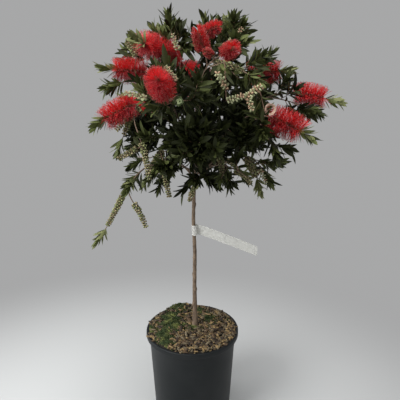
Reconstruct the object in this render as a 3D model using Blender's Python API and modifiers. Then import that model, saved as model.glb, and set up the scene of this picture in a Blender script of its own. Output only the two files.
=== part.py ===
"""Red bottlebrush grown as a standard: a bare stem with a round, weeping head, in a nursery pot.

The head is made of shoots. Each bough ends where it enters a mass of foliage, and the mass goes on
from there with a leading shoot. The mass's other shoots leave the leading one, side twigs and leaves
follow by a seeded rule, and one union makes each mass a single body. Metres, +Z up, the origin at
the middle of the pot's flat underside, and -Y towards the viewer.
"""

import math
import random

import bmesh
import bpy
from mathutils import Matrix, Vector
from mathutils.bvhtree import BVHTree
from mathutils.kdtree import KDTree

UP = Vector((0, 0, 1))
CLEARANCE = 0.0003
SEED = 7

# Pot
POT_HEIGHT = 0.250
RIM_RADIUS = 0.120
FOOT_RADIUS = 0.0990
SHOULDER_RADIUS = 0.1118
LIP_HEIGHT = 0.013
LIP_ROUND = 0.0025
WALL = 0.0025
FLOOR = 0.0035
FOOT_ROUND = 0.003
DRAIN_RADIUS = 0.0065
DRAIN_RING = 0.068
DRAIN_COUNT = 8
POT_STEPS = 24

# Bark mulch that fills the pot, with moss on it
MULCH_CROWN = 0.0080
MULCH_RINGS = 6
MULCH_ROUGHNESS = 0.0016
MOSS_MOUNDS = (
    # azimuth, distance from the middle, radius, height
    (118, 0.078, 0.036, 0.017),
    (150, 0.045, 0.030, 0.007),
    (205, 0.055, 0.030, 0.006),
    (20, 0.040, 0.026, 0.006),
)

# Stem: height above the mulch, sideways drift and radius
STEM_X = 0.0065
STEM_PAD = 0.022
STEM_TOP = 0.735
STEM_STATIONS = (
    (0.000, 0.0008, 0.0086),
    (0.012, 0.0008, 0.0069),
    (0.040, 0.0004, 0.0058),
    (0.110, -0.0006, 0.0050),
    (0.200, 0.0006, 0.0046),
    (0.290, -0.0026, 0.0043),
    (0.370, -0.0004, 0.0041),
    (0.430, 0.0014, 0.0037),
    (0.473, 0.0022, 0.0031),
)
STEM_SIDES = 12

# Boughs
BOUGH_SIDES = 6
BOUGH_STATION = 0.030
BOUGH_FOOT = 0.0026
BOUGH_TIP = 0.0016
BRANCH_FOOT = 0.0021
BOUGH_RISE = 0.75
BOUGH_ARCH = 0.04

# Shoots, leaves, flowers and seed capsules
SHOOT_FOOT = 0.0015
SHOOT_TIP = 0.0009
SHOOT_STATION = 0.045
SIDE_STATIONS = 1
SIDE_FOOT = 0.0012
SIDE_LENGTH = 0.070
SIDE_SPACING = 0.075
NO_SIDE_TWIGS = ("weeping_left", "weeping_right", "lower_front", "lower_left")
GOLDEN_ANGLE = math.radians(137.5)
LEAF_LENGTH = 0.058
LEAF_WIDTH = 0.0155
LEAF_THICKNESS = 0.0018
LEAF_BELLY = 0.46
LEAF_SPACING = 0.031
LEAF_SLANT = math.radians(52)
BARE_SHARE = 0.30
ROOT_OFFSET = 0.0004
TUFT_REACH = 0.034
TUFT_LEAVES = 3
TUFT_SLANT = math.radians(28)
BRUSH_LENGTH = 0.066
SMALL_BRUSH_LENGTH = 0.036
BRUSH_RADIUS = 0.0205
BRUSH_SPIKE = 0.0100
BRUSH_END_SPIKE = 0.0040
BRUSH_TAIL = 0.016
LONG_TAIL = 0.027
BRUSH_SIDES = 7
BRUSH_BANDS = 3
CAPSULES_LENGTH = 0.082
CAPSULES_TAIL = 0.032
CAPSULES_RADIUS = 0.0090
CAPSULES_CORE = 0.0040
CAPSULES_BANDS = 6
CAPSULES_SIDES = 4
BUD_LENGTH = 0.026
BUD_RADIUS = 0.0105

# Each bough: where it starts, as "stem" and a height or a bough and a share of its length, and
# the azimuth, reach and height of its tip. Azimuth 0 is +X, and 270 faces the viewer.
BOUGHS = {
    "leader": ("stem", STEM_TOP, (172, 0.026, 0.850)),
    "top_right": ("leader", 0.42, (8, 0.040, 0.868)),
    "upper_back": ("leader", 0.70, (96, 0.050, 0.875)),
    "upper_left": ("stem", 0.716, (184, 0.085, 0.872)),
    "left": ("upper_left", 0.45, (209, 0.100, 0.818)),
    "front_left": ("stem", 0.700, (250, 0.090, 0.792)),
    "lower_left": ("front_left", 0.45, (229, 0.080, 0.712)),
    "front": ("stem", 0.724, (286, 0.062, 0.868)),
    "upper_right": ("stem", 0.708, (4, 0.085, 0.866)),
    "right": ("stem", 0.690, (-2, 0.138, 0.820)),
    "front_right": ("right", 0.40, (-28, 0.118, 0.790)),
    "weeping_right": ("stem", 0.660, (2, 0.115, 0.700)),
    "lower_right": ("weeping_right", 0.40, (-38, 0.085, 0.690)),
    "weeping_left": ("stem", 0.668, (199, 0.082, 0.688)),
    "lower_front": ("stem", 0.642, (-78, 0.045, 0.672)),
    "inner_front": ("stem", 0.673, (-84, 0.055, 0.735)),
    "inner_left": ("stem", 0.684, (206, 0.055, 0.735)),
    "inner_right": ("stem", 0.677, (-15, 0.055, 0.728)),
    "inner_back": ("stem", 0.694, (84, 0.055, 0.738)),
    "back": ("stem", 0.722, (92, 0.110, 0.800)),
    "back_left": ("back", 0.40, (136, 0.125, 0.785)),
    "back_right": ("stem", 0.682, (44, 0.125, 0.775)),
    "lower_back_left": ("stem", 0.654, (136, 0.085, 0.700)),
    "lower_back_right": ("stem", 0.634, (56, 0.085, 0.680)),
}

# The shoots of the mass at the end of each bough, the leading one first: what it bears, then the
# azimuth, reach and height of its tip, and how far it arches up (or sags, below zero).
SHOOTS = {
    "leader": (
        ("leaves", 180, 0.059, 1.032, -0.05),
        ("leaves", 200, 0.100, 0.996, -0.10),
        ("brush", 217, 0.092, 0.985, 0.00),
        ("brush", 223, 0.176, 0.960, 0.00),
        ("small_brush", 317, 0.066, 0.981, 0.00),
        ("leaves", 264, 0.095, 0.935, 0.00),
    ),
    "top_right": (
        ("leaves", 60, 0.045, 1.028, 0.00),
        ("leaves", 24, 0.078, 1.022, -0.08),
        ("leaves", -5, 0.121, 1.005, -0.10),
        ("leaves", -22, 0.138, 0.958, -0.10),
    ),
    "upper_left": (
        ("brush", 188, 0.221, 0.908, 0.00),
        ("leaves", 197, 0.215, 0.853, 0.00),
        ("leaves", 172, 0.150, 0.975, -0.08),
    ),
    "left": (
        ("brush", 199, 0.247, 0.776, 0.12),
        ("capsules", 195, 0.190, 0.700, 0.20),
        ("end_capsules", 228, 0.142, 0.668, 0.30),
    ),
    "front_left": (
        ("end_brush", 257, 0.262, 0.872, 0.00),
        ("leaves", 241, 0.228, 0.860, -0.10),
        ("leaves", 256, 0.195, 0.915, -0.10),
        ("bud", 265, 0.250, 0.834, 0.00),
    ),
    "front": (
        ("small_brush", 292, 0.199, 0.926, 0.05),
        ("leaves", 287, 0.225, 0.905, 0.00),
        ("small_brush", 276, 0.100, 0.963, 0.00),
        ("capsules", 305, 0.242, 0.862, 0.10),
        ("small_brush", 281, 0.128, 0.926, 0.00),
    ),
    "upper_right": (
        ("brush", 0, 0.238, 0.902, 0.03),
        ("leaves", 12, 0.158, 0.945, -0.08),
        ("leaves", 336, 0.175, 0.915, -0.08),
    ),
    "right": (
        ("far_brush", 0, 0.354, 0.831, 0.10),
        ("leaves", -9, 0.300, 0.800, 0.05),
        ("leaves", -3, 0.222, 0.900, -0.10),
    ),
    "front_right": (
        ("brush", -26, 0.292, 0.758, 0.12),
        ("leaves", -30, 0.220, 0.695, 0.10),
        ("leaves", -50, 0.215, 0.760, 0.05),
    ),
    "weeping_right": (
        ("leaves", -4, 0.200, 0.628, 0.20),
        ("capsules", -9, 0.165, 0.600, 0.20),
        ("leaves", 4, 0.206, 0.672, 0.15),
    ),
    "lower_right": (
        ("end_capsules", -33, 0.150, 0.655, 0.20),
        ("leaves", -67, 0.125, 0.655, 0.15),
        ("leaves", -50, 0.190, 0.675, 0.10),
    ),
    "weeping_left": (
        ("capsules", 192, 0.249, 0.494, 0.02),
        ("leaves", 216, 0.192, 0.636, 0.10),
        ("leaves", 202, 0.175, 0.645, 0.10),
        ("end_capsules", 208, 0.126, 0.546, 0.15),
    ),
    "lower_left": (
        ("leaves", 233, 0.115, 0.652, 0.15),
        ("leaves", 214, 0.130, 0.660, 0.15),
        ("leaves", 246, 0.176, 0.700, 0.05),
    ),
    "lower_front": (
        ("leaves", -57, 0.115, 0.648, 0.15),
        ("end_capsules", -104, 0.044, 0.604, 0.25),
        ("leaves", -92, 0.140, 0.668, 0.05),
    ),
    "inner_front": (
        ("leaves", -100, 0.145, 0.795, 0.00),
        ("leaves", -66, 0.150, 0.760, 0.00),
        ("leaves", -118, 0.150, 0.740, 0.00),
        ("leaves", -86, 0.170, 0.715, 0.05),
    ),
    "inner_left": (
        ("leaves", 200, 0.150, 0.790, 0.00),
        ("leaves", 224, 0.165, 0.765, 0.00),
        ("leaves", 185, 0.165, 0.725, 0.05),
    ),
    "inner_right": (
        ("leaves", -18, 0.165, 0.800, 0.00),
        ("leaves", 8, 0.190, 0.745, 0.00),
        ("leaves", -40, 0.170, 0.745, 0.00),
    ),
    "inner_back": (
        ("leaves", 84, 0.150, 0.800, 0.00),
        ("leaves", 112, 0.170, 0.735, 0.00),
        ("leaves", 56, 0.170, 0.745, 0.00),
    ),
    "upper_back": (
        ("brush", 95, 0.195, 0.920, -0.05),
        ("leaves", 60, 0.105, 1.005, -0.08),
        ("leaves", 128, 0.140, 0.975, -0.08),
    ),
    "back": (
        ("brush", 84, 0.262, 0.872, -0.05),
        ("brush", 66, 0.195, 0.930, -0.05),
        ("leaves", 102, 0.245, 0.800, 0.05),
    ),
    "back_left": (
        ("brush", 141, 0.262, 0.842, -0.05),
        ("leaves", 124, 0.215, 0.905, -0.08),
        ("leaves", 156, 0.240, 0.780, 0.05),
    ),
    "back_right": (
        ("brush", 40, 0.285, 0.815, -0.05),
        ("leaves", 28, 0.230, 0.885, -0.08),
        ("leaves", 60, 0.240, 0.755, 0.10),
    ),
    "lower_back_left": (
        ("capsules", 139, 0.205, 0.590, 0.20),
        ("leaves", 112, 0.165, 0.625, 0.20),
        ("leaves", 160, 0.195, 0.660, 0.10),
    ),
    "lower_back_right": (
        ("capsules", 38, 0.205, 0.610, 0.20),
        ("leaves", 62, 0.185, 0.600, 0.20),
        ("leaves", 84, 0.170, 0.635, 0.10),
    ),
}
SPACE_POINTS = 5
SHOOT_START = 0.16
SHOOT_START_STEP = 0.12

# Loop label that hangs on the stem
LABEL_HEIGHT = 0.520
LABEL_WIDTH = 0.025
LABEL_THICKNESS = 0.0005
LABEL_LOOP = 0.0078
LABEL_TAIL = 0.150
LABEL_DROOP = 0.058
LABEL_TURNS = 9
LABEL_TAIL_STEPS = 5


def clear_scene():
    for item in list(bpy.data.objects):
        bpy.data.objects.remove(item, do_unlink=True)


def new_collection(name):
    collection = bpy.data.collections.new(name)
    bpy.context.scene.collection.children.link(collection)
    return collection


def material(name, colour, roughness, metallic=0.0):
    finish = bpy.data.materials.new(name)
    finish.use_nodes = True
    shader = finish.node_tree.nodes["Principled BSDF"]
    shader.inputs["Base Color"].default_value = (*colour, 1)
    shader.inputs["Roughness"].default_value = roughness
    shader.inputs["Metallic"].default_value = metallic
    return finish


def link_mesh(name, mesh, collection):
    item = bpy.data.objects.new(name, mesh)
    collection.objects.link(item)
    return item


def mesh_from_bmesh(name, bm):
    mesh = bpy.data.meshes.new(name)
    bm.to_mesh(mesh)
    bm.free()
    return mesh


def evaluated_mesh(item):
    """The object's mesh with its modifiers applied."""
    bpy.context.view_layer.update()
    graph = bpy.context.evaluated_depsgraph_get()
    return bpy.data.meshes.new_from_object(item.evaluated_get(graph))


def shade_smooth(item, angle):
    item.data.shade_smooth()
    item.data.set_sharp_from_angle(angle=math.radians(angle))


def polyline_object(name, points, collection, cyclic=False, flat=False):
    curve = bpy.data.curves.new(name, "CURVE")
    curve.dimensions = "2D" if flat else "3D"
    spline = curve.splines.new("POLY")
    spline.points.add(len(points) - 1)
    for target, point in zip(spline.points, points):
        target.co = (*point, 1)
    spline.use_cyclic_u = cyclic
    return link_mesh(name, curve, collection)


def tube(name, points, radii, section, collection):
    """A tapering tube along the points, capped at both ends, as a mesh object."""
    item = polyline_object(name, points, collection)
    curve = item.data
    curve.bevel_mode = "OBJECT"
    curve.bevel_object = section
    curve.use_fill_caps = True
    for target, radius in zip(curve.splines[0].points, radii):
        target.radius = radius
    mesh = evaluated_mesh(item)
    bpy.data.objects.remove(item)
    bm = bmesh.new()
    bm.from_mesh(mesh)
    bmesh.ops.remove_doubles(bm, verts=bm.verts, dist=1e-6)
    bmesh.ops.recalc_face_normals(bm, faces=bm.faces)
    bm.to_mesh(mesh)
    bm.free()
    return link_mesh(name, mesh, collection)


def tube_section(sides, helpers):
    """A regular polygon of radius 1 that tubes are swept with."""
    angles = [math.tau * k / sides for k in range(sides)]
    points = [(math.cos(a), math.sin(a), 0) for a in angles]
    item = polyline_object(f"section_{sides}", points, helpers, cyclic=True, flat=True)
    item.hide_render = True
    item.display_type = "WIRE"
    return item


def turned(name, profile, steps, collection):
    """A profile turned about Z. It runs down its outer side, and its ends lie on the axis."""
    bm = bmesh.new()
    points = [bm.verts.new((radius, 0, height)) for radius, height in profile]
    for first, second in zip(points, points[1:]):
        bm.edges.new((first, second))
    item = link_mesh(name, mesh_from_bmesh(name, bm), collection)
    screw = item.modifiers.new("turn", "SCREW")
    screw.steps = steps
    screw.render_steps = steps
    screw.use_merge_vertices = True
    screw.merge_threshold = 0.0001
    return item


def polar(azimuth, reach, height):
    angle = math.radians(azimuth)
    return Vector((STEM_X + reach * math.cos(angle), reach * math.sin(angle), height))


def wall_radius(height):
    """Outer radius of the pot's wall."""
    share = height / (POT_HEIGHT - LIP_HEIGHT)
    return FOOT_RADIUS + (SHOULDER_RADIUS - FOOT_RADIUS) * share


def make_pot(collection, helpers, finish):
    inner_top = RIM_RADIUS - 2 * LIP_ROUND - WALL
    under_lip = POT_HEIGHT - LIP_HEIGHT
    profile = (
        (0, FLOOR),
        (wall_radius(FLOOR) - WALL, FLOOR),
        (wall_radius(under_lip) - WALL, under_lip),
        (inner_top, POT_HEIGHT - LIP_ROUND),
        (inner_top + LIP_ROUND, POT_HEIGHT),
        (RIM_RADIUS - LIP_ROUND, POT_HEIGHT),
        (RIM_RADIUS, POT_HEIGHT - LIP_ROUND),
        (RIM_RADIUS, under_lip + LIP_ROUND),
        (RIM_RADIUS - LIP_ROUND, under_lip),
        (wall_radius(under_lip), under_lip - LIP_ROUND),
        (wall_radius(FOOT_ROUND), FOOT_ROUND),
        (FOOT_RADIUS - FOOT_ROUND, 0),
        (0, 0),
    )
    pot = turned("pot", profile, POT_STEPS, collection)
    for k in range(DRAIN_COUNT):
        angle = math.tau * (k + 0.5) / DRAIN_COUNT
        bpy.ops.mesh.primitive_cylinder_add(vertices=8, radius=DRAIN_RADIUS, depth=4 * FLOOR)
        cutter = bpy.context.active_object
        cutter.name = f"drain_hole_{k + 1}"
        cutter.location = (DRAIN_RING * math.cos(angle), DRAIN_RING * math.sin(angle), 0)
        for owner in list(cutter.users_collection):
            owner.objects.unlink(cutter)
        helpers.objects.link(cutter)
        cutter.hide_render = True
        cutter.display_type = "WIRE"
        cut = pot.modifiers.new(cutter.name, "BOOLEAN")
        cut.object = cutter
        cut.operation = "DIFFERENCE"
    pot.data.materials.append(finish)
    return pot


def mulch_lift(x, y, rng):
    """Height of the mulch's surface over its rim, with the moss mounds and the stem's flat pad."""
    from_middle = math.hypot(x, y) / RIM_RADIUS
    lift = MULCH_CROWN * (1 - from_middle**2) + rng.uniform(-1, 1) * MULCH_ROUGHNESS
    for azimuth, distance, radius, height in MOSS_MOUNDS:
        angle = math.radians(azimuth)
        away = math.hypot(x - distance * math.cos(angle), y - distance * math.sin(angle))
        lift += height * max(0.0, 1 - (away / radius) ** 2)
    if math.hypot(x - STEM_X, y) < STEM_PAD:
        lift = MULCH_CROWN
    return lift


def make_mulch(collection, finish):
    rng = random.Random(SEED)
    floor = FLOOR + CLEARANCE
    under_lip = POT_HEIGHT - LIP_HEIGHT
    inner_top = RIM_RADIUS - 2 * LIP_ROUND - WALL - CLEARANCE
    rim = (inner_top, POT_HEIGHT - LIP_ROUND)
    rings = [(inner_top * k / MULCH_RINGS, POT_HEIGHT) for k in range(MULCH_RINGS)]
    sides = [
        (wall_radius(under_lip) - WALL - CLEARANCE, under_lip),
        (wall_radius(FLOOR) - WALL - CLEARANCE, floor),
        (0, floor),
    ]
    draft = turned("mulch_draft", [*rings, rim, *sides], POT_STEPS, collection)
    mesh = evaluated_mesh(draft)
    bpy.data.objects.remove(draft)
    for vertex in mesh.vertices:
        if vertex.co.z > POT_HEIGHT - LIP_ROUND / 2:
            vertex.co.z += mulch_lift(vertex.co.x, vertex.co.y, rng)
    mulch = link_mesh("mulch", mesh, collection)
    mulch.data.materials.append(finish)
    return mulch


def bezier(start, lead_out, lead_in, end, stations):
    points = []
    for k in range(stations + 1):
        t = k / stations
        a = (1 - t) ** 3
        b = 3 * t * (1 - t) ** 2
        c = 3 * t * t * (1 - t)
        points.append(a * start + b * lead_out + c * lead_in + t**3 * end)
    return points


def route(start, heading, end, arch, stations):
    """A limb's smooth path: it leaves along heading and comes to its end from above if it arches."""
    chord = end - start
    reach = chord.length
    lead_in = end - 0.35 * chord + arch * reach * UP
    return bezier(start, start + 0.33 * reach * heading, lead_in, end, stations)


def place_on(points, share):
    """The point and the direction at a share of a path's length."""
    lengths = [(b - a).length for a, b in zip(points, points[1:])]
    left = share * sum(lengths)
    for first, second, length in zip(points, points[1:], lengths):
        if left <= length or second is points[-1]:
            heading = (second - first).normalized()
            return first + min(left, length) * heading, heading
        left -= length


def path_length(points):
    return sum((b - a).length for a, b in zip(points, points[1:]))


def taper(first, last, count):
    return [first + (last - first) * k / (count - 1) for k in range(count)]


def stem_path():
    foot = POT_HEIGHT + MULCH_CROWN + CLEARANCE
    points = [Vector((STEM_X + drift, 0, foot + rise)) for rise, drift, _ in STEM_STATIONS]
    points[-1].z = STEM_TOP
    return points, [radius for _, _, radius in STEM_STATIONS]


def stem_at(height):
    points, radii = stem_path()
    for a, b, r_a, r_b in zip(points, points[1:], radii, radii[1:]):
        if height <= b.z:
            share = (height - a.z) / (b.z - a.z)
            return a.lerp(b, share), r_a + (r_b - r_a) * share
    return points[-1], radii[-1]


def bough_path(name, paths):
    """The bough's points and radii. Its foot stands just clear of what it grows from."""
    parent, where, tip = BOUGHS[name]
    end = polar(*tip)
    if parent == "stem":
        root, parent_radius = stem_at(where)
        foot_radius = BOUGH_FOOT
        along = UP
    else:
        root, along = place_on(paths[parent][0], where)
        parent_radius = BOUGH_FOOT + (BOUGH_TIP - BOUGH_FOOT) * where
        foot_radius = BRANCH_FOOT
    stations = max(3, round((end - root).length / BOUGH_STATION))
    if parent == "stem" and where == STEM_TOP:
        points = route(root + CLEARANCE * UP, UP, end, BOUGH_ARCH, stations)
        return points, taper(foot_radius, BOUGH_TIP, len(points))
    outwards = end - root
    outwards -= outwards.dot(along) * along
    outwards.normalize()
    heading = (outwards + BOUGH_RISE * along).normalized()
    points = route(root, heading, end, BOUGH_ARCH, stations)
    for _ in range(3):
        tilt = abs((points[1] - points[0]).normalized().dot(along))
        start = root + (parent_radius + foot_radius * tilt + CLEARANCE) * outwards
        points = route(start, heading, end, BOUGH_ARCH, stations)
    return points, taper(foot_radius, BOUGH_TIP, len(points))


def stand(bm, root, heading, face):
    """Turns a shape's Z to heading and its Y as near as may be to face, and moves it to root."""
    across = face.cross(heading)
    if across.length < 1e-6:
        across = heading.orthogonal()
    across.normalize()
    turn = Matrix((across, heading.cross(across), heading)).transposed().to_4x4()
    bmesh.ops.transform(bm, matrix=Matrix.Translation(root) @ turn, verts=bm.verts)


def leaf_shape(place, grow=0.0):
    """A lance-shaped blade folded along its midrib: root, tip and two edges that stand back."""
    root, heading, face, length = place
    half = LEAF_WIDTH / 2 * length / LEAF_LENGTH + grow
    thickness = LEAF_THICKNESS + 2 * grow
    bm = bmesh.new()
    bmesh.ops.create_cone(bm, segments=3, radius1=1, radius2=0, depth=1, cap_ends=True)
    corners = ((0, 0, 0), (0, 0, length + grow), (half, -thickness, LEAF_BELLY * length))
    corners += ((-half, -thickness, LEAF_BELLY * length),)
    for vertex, corner in zip(bm.verts, corners):
        vertex.co = corner
    bmesh.ops.recalc_face_normals(bm, faces=bm.faces)
    stand(bm, root, heading, face)
    return bm


def banded_rod(radius, length, sides, bands):
    """A closed rod along Z from 0, cut into bands."""
    bm = bmesh.new()
    bmesh.ops.create_cone(
        bm, segments=sides, radius1=radius, radius2=radius, depth=length, cap_ends=True
    )
    bmesh.ops.translate(bm, vec=(0, 0, length / 2), verts=bm.verts)
    upright = [e for e in bm.edges if abs(e.verts[0].co.z - e.verts[1].co.z) > length / 2]
    bmesh.ops.subdivide_edges(bm, edges=upright, cuts=bands - 1)
    return bm


def brush_shape(base, tip, grow=0.0):
    """A flower brush, slimmer when short: a barrel with blunt spikes of stamens."""
    length = (tip - base).length
    width = BRUSH_RADIUS * min(1, 0.45 + 0.55 * length / BRUSH_LENGTH) + grow
    bm = banded_rod(width, length, BRUSH_SIDES, BRUSH_BANDS)
    for vertex in bm.verts:
        share = vertex.co.z / length
        swell = 0.72 + 0.28 * math.sin(math.pi * min(1, 0.12 + share))
        vertex.co.x *= swell
        vertex.co.y *= swell
    ends = [face for face in bm.faces if abs(face.normal.z) > 0.9]
    flanks = [face for face in bm.faces if face not in ends]
    bmesh.ops.poke(bm, faces=flanks, offset=BRUSH_SPIKE)
    bmesh.ops.poke(bm, faces=ends, offset=BRUSH_END_SPIKE)
    stand(bm, base, (tip - base).normalized(), UP.cross(tip - base))
    return bm


def capsules_shape(base, tip, grow=0.0):
    """A string of woody seed capsules: a knobbly rod that is fat and thin by turns."""
    length = (tip - base).length
    bm = banded_rod(CAPSULES_CORE + grow, length, CAPSULES_SIDES, CAPSULES_BANDS)
    widen = CAPSULES_RADIUS / CAPSULES_CORE
    for vertex in bm.verts:
        band = round(vertex.co.z / length * CAPSULES_BANDS)
        if band % 2:
            vertex.co.x *= widen
            vertex.co.y *= widen
    stand(bm, base, (tip - base).normalized(), UP.cross(tip - base))
    return bm


def bud_shape(base, tip, grow=0.0):
    """A closed flower bud spike, short and egg-shaped."""
    bm = bmesh.new()
    bmesh.ops.create_uvsphere(bm, u_segments=6, v_segments=4, radius=1)
    length = (tip - base).length
    width = BUD_RADIUS + grow
    bmesh.ops.scale(bm, vec=(width, width, length / 2), verts=bm.verts)
    bmesh.ops.translate(bm, vec=(0, 0, length / 2), verts=bm.verts)
    stand(bm, base, (tip - base).normalized(), UP.cross(tip - base))
    return bm


# What a shoot bears: its shape, its length, and how much of the shoot goes on past it.
BURDENS = {
    "brush": (brush_shape, BRUSH_LENGTH, BRUSH_TAIL),
    "far_brush": (brush_shape, BRUSH_LENGTH, LONG_TAIL),
    "end_brush": (brush_shape, BRUSH_LENGTH, 0),
    "small_brush": (brush_shape, SMALL_BRUSH_LENGTH, 0),
    "capsules": (capsules_shape, CAPSULES_LENGTH, CAPSULES_TAIL),
    "end_capsules": (capsules_shape, CAPSULES_LENGTH, 0),
    "bud": (bud_shape, BUD_LENGTH, 0),
}


def has_tuft(kind):
    return kind == "leaves" or BURDENS[kind][2] > 0


def burden_span(kind, length):
    """The shares of a shoot's length between which it bears its flower, capsules or bud."""
    if kind == "leaves":
        return None
    _, full_size, tail = BURDENS[kind]
    size = min(full_size, 0.62 * length)
    end = max(length - tail, size)
    return (end - size) / length, end / length


class Mass:
    """One mass of foliage: its shoots, side twigs and leaves, and the space they may fill."""

    def __init__(self, name, number):
        self.name = name
        self.number = number
        self.rng = random.Random(SEED * 1000 + number)
        self.shoots = []
        self.collection = new_collection(f"{name}_twigs_and_leaves")
        self.points = []
        self.faces = []
        self.tree = None

    def add(self, item):
        """Keeps a piece and its faces, for the tests against other masses."""
        first = len(self.points)
        self.points += [vertex.co.copy() for vertex in item.data.vertices]
        self.faces += [[first + k for k in face.vertices] for face in item.data.polygons]

    def close_round(self):
        self.tree = BVHTree.FromPolygons(self.points, self.faces)


def stations_for(start, end):
    return max(2, round((end - start).length / SHOOT_STATION))


def plan_shoots(mass, bough_points):
    """Works out the paths of the mass's shoots: the leading one, then those that leave it."""
    start, heading = place_on(bough_points, 1.0)
    for k, (kind, azimuth, reach, height, arch) in enumerate(SHOOTS[mass.name]):
        outer = polar(azimuth, reach, height)
        if k:
            start, along = place_on(mass.shoots[0][1], SHOOT_START + SHOOT_START_STEP * (k - 1))
            heading = (along + 1.5 * (outer - start).normalized()).normalized()
        tuft = TUFT_REACH if has_tuft(kind) else 0
        end = outer - tuft * (outer - start).normalized()
        points = route(start, heading, end, arch, stations_for(start, end))
        if k == 0:
            bend = heading.cross((points[1] - points[0]).normalized()).length
            points[0] += (CLEARANCE + SHOOT_FOOT * bend) * heading
        mass.shoots.append((kind, points))


def leaf_places(mass, kind, points):
    """Leaves in a spiral up a shoot, clear of what it bears, and the tuft at its end."""
    length = path_length(points)
    span = burden_span(kind, length)
    count = int(length * (1 - BARE_SHARE) / LEAF_SPACING)
    turn = mass.rng.uniform(0, math.tau)
    for k in range(count):
        share = BARE_SHARE + (1 - BARE_SHARE) * (k + 0.5) / count
        turn += GOLDEN_ANGLE
        if span and span[0] - 0.05 < share < span[1]:
            continue
        yield leaf_at(mass, points, share, turn, LEAF_SLANT, LEAF_LENGTH)
    if not has_tuft(kind):
        return
    for k in range(TUFT_LEAVES):
        turn += math.tau / TUFT_LEAVES
        share = 1 - 0.012 * (k % 2 + 0.3) / length
        yield leaf_at(mass, points, share, turn, TUFT_SLANT, 0.76 * LEAF_LENGTH)


def leaf_at(mass, points, share, turn, slant, length):
    root, along = place_on(points, share)
    side = along.orthogonal().normalized()
    side.rotate(Matrix.Rotation(turn, 3, along))
    lean = slant * mass.rng.uniform(0.8, 1.2)
    heading = math.cos(lean) * along + math.sin(lean) * side
    heading = (heading + mass.rng.uniform(-0.15, 0.15) * UP).normalized()
    root += ROOT_OFFSET * side
    return root, heading, along, length * mass.rng.uniform(0.88, 1.12)


def side_paths(mass, kind, points):
    """Side twigs of a shoot. They turn out from its path in a spiral, and up at their tips."""
    length = path_length(points)
    span = burden_span(kind, length)
    last = span[0] if span else 0.80
    count = max(1, round(length * last / SIDE_SPACING))
    turn = mass.rng.uniform(0, math.tau)
    for k in range(count):
        share = 0.22 + (last - 0.22) * (k + 0.4) / count
        turn += GOLDEN_ANGLE
        start, along = place_on(points, share)
        side = along.orthogonal().normalized()
        side.rotate(Matrix.Rotation(turn, 3, along))
        heading = (0.8 * along + side).normalized()
        reach = SIDE_LENGTH * mass.rng.uniform(0.75, 1.20)
        end = start + reach * (heading + mass.rng.uniform(0.05, 0.30) * UP).normalized()
        yield route(start, heading, end, -0.05, SIDE_STATIONS)


def path_is_clear(points, radius, trees):
    length = path_length(points)
    steps = max(2, int(length / 0.004))
    for k in range(1, steps + 1):
        point, _ = place_on(points, k / steps)
        for tree in trees:
            if tree.find_nearest(point, radius + 2 * CLEARANCE)[0] is not None:
                return False
    return True


def shape_is_clear(bm, trees):
    shape = BVHTree.FromBMesh(bm)
    bm.free()
    return not any(tree.overlap(shape) for tree in trees)


def grow_masses(boughs, limb_tree, section):
    """Grows every mass in rounds: shoots with what they bear, side twigs, then leaves."""
    masses = [Mass(name, k) for k, name in enumerate(SHOOTS)]
    for mass in masses:
        plan_shoots(mass, boughs[mass.name])
    space = KDTree(SPACE_POINTS * sum(len(mass.shoots) for mass in masses))
    for mass in masses:
        for _, points in mass.shoots:
            for k in range(SPACE_POINTS):
                point, _ = place_on(points, (k + 1) / SPACE_POINTS)
                space.insert(point, mass.number)
    space.balance()

    def rivals(mass):
        return [limb_tree] + [m.tree for m in masses if m is not mass and m.tree]

    for mass in masses:
        trees = [m.tree for m in masses if m.tree]
        for kind, points in mass.shoots:
            radii = taper(SHOOT_FOOT, SHOOT_TIP, len(points))
            mass.add(tube("shoot", points, radii, section, mass.collection))
            span = burden_span(kind, path_length(points))
            if not span:
                continue
            base, _ = place_on(points, span[0])
            tip, _ = place_on(points, span[1])
            shape = BURDENS[kind][0]
            if not shape_is_clear(shape(base, tip, CLEARANCE), [*trees, limb_tree]):
                continue
            mesh = mesh_from_bmesh(kind, shape(base, tip))
            mass.add(link_mesh(kind, mesh, mass.collection))
        mass.close_round()

    for mass in masses:
        others = rivals(mass)
        if mass.name in NO_SIDE_TWIGS:
            continue
        for kind, points in list(mass.shoots):
            for side in side_paths(mass, kind, points):
                if space.find(side[-1])[1] != mass.number:
                    continue
                if not path_is_clear(side, SIDE_FOOT, others):
                    continue
                radii = taper(SIDE_FOOT, SHOOT_TIP, len(side))
                mass.add(tube("side", side, radii, section, mass.collection))
                mass.shoots.append(("leaves", side))
        mass.close_round()

    for mass in masses:
        others = rivals(mass)
        for kind, points in mass.shoots:
            for place in leaf_places(mass, kind, points):
                root, heading, _, length = place
                if space.find(root + 0.6 * length * heading)[1] != mass.number:
                    continue
                if not shape_is_clear(leaf_shape(place, 2 * CLEARANCE), others):
                    continue
                mesh = mesh_from_bmesh("leaf", leaf_shape(place))
                mass.add(link_mesh("leaf", mesh, mass.collection))
        mass.close_round()
    return masses


def keep_largest_island(mesh):
    """Fills any hollow that the union sealed and drops any scrap: only the outer skin stays."""
    bm = bmesh.new()
    bm.from_mesh(mesh)
    islands = []
    waiting = set(bm.verts)
    while waiting:
        island = set()
        edge_of_island = [waiting.pop()]
        while edge_of_island:
            vertex = edge_of_island.pop()
            island.add(vertex)
            for edge in vertex.link_edges:
                other = edge.other_vert(vertex)
                if other in waiting:
                    waiting.remove(other)
                    edge_of_island.append(other)
        islands.append(island)
    islands.sort(key=len)
    extra = [vertex for island in islands[:-1] for vertex in island]
    bmesh.ops.delete(bm, geom=extra, context="VERTS")
    bm.to_mesh(mesh)
    bm.free()


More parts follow.
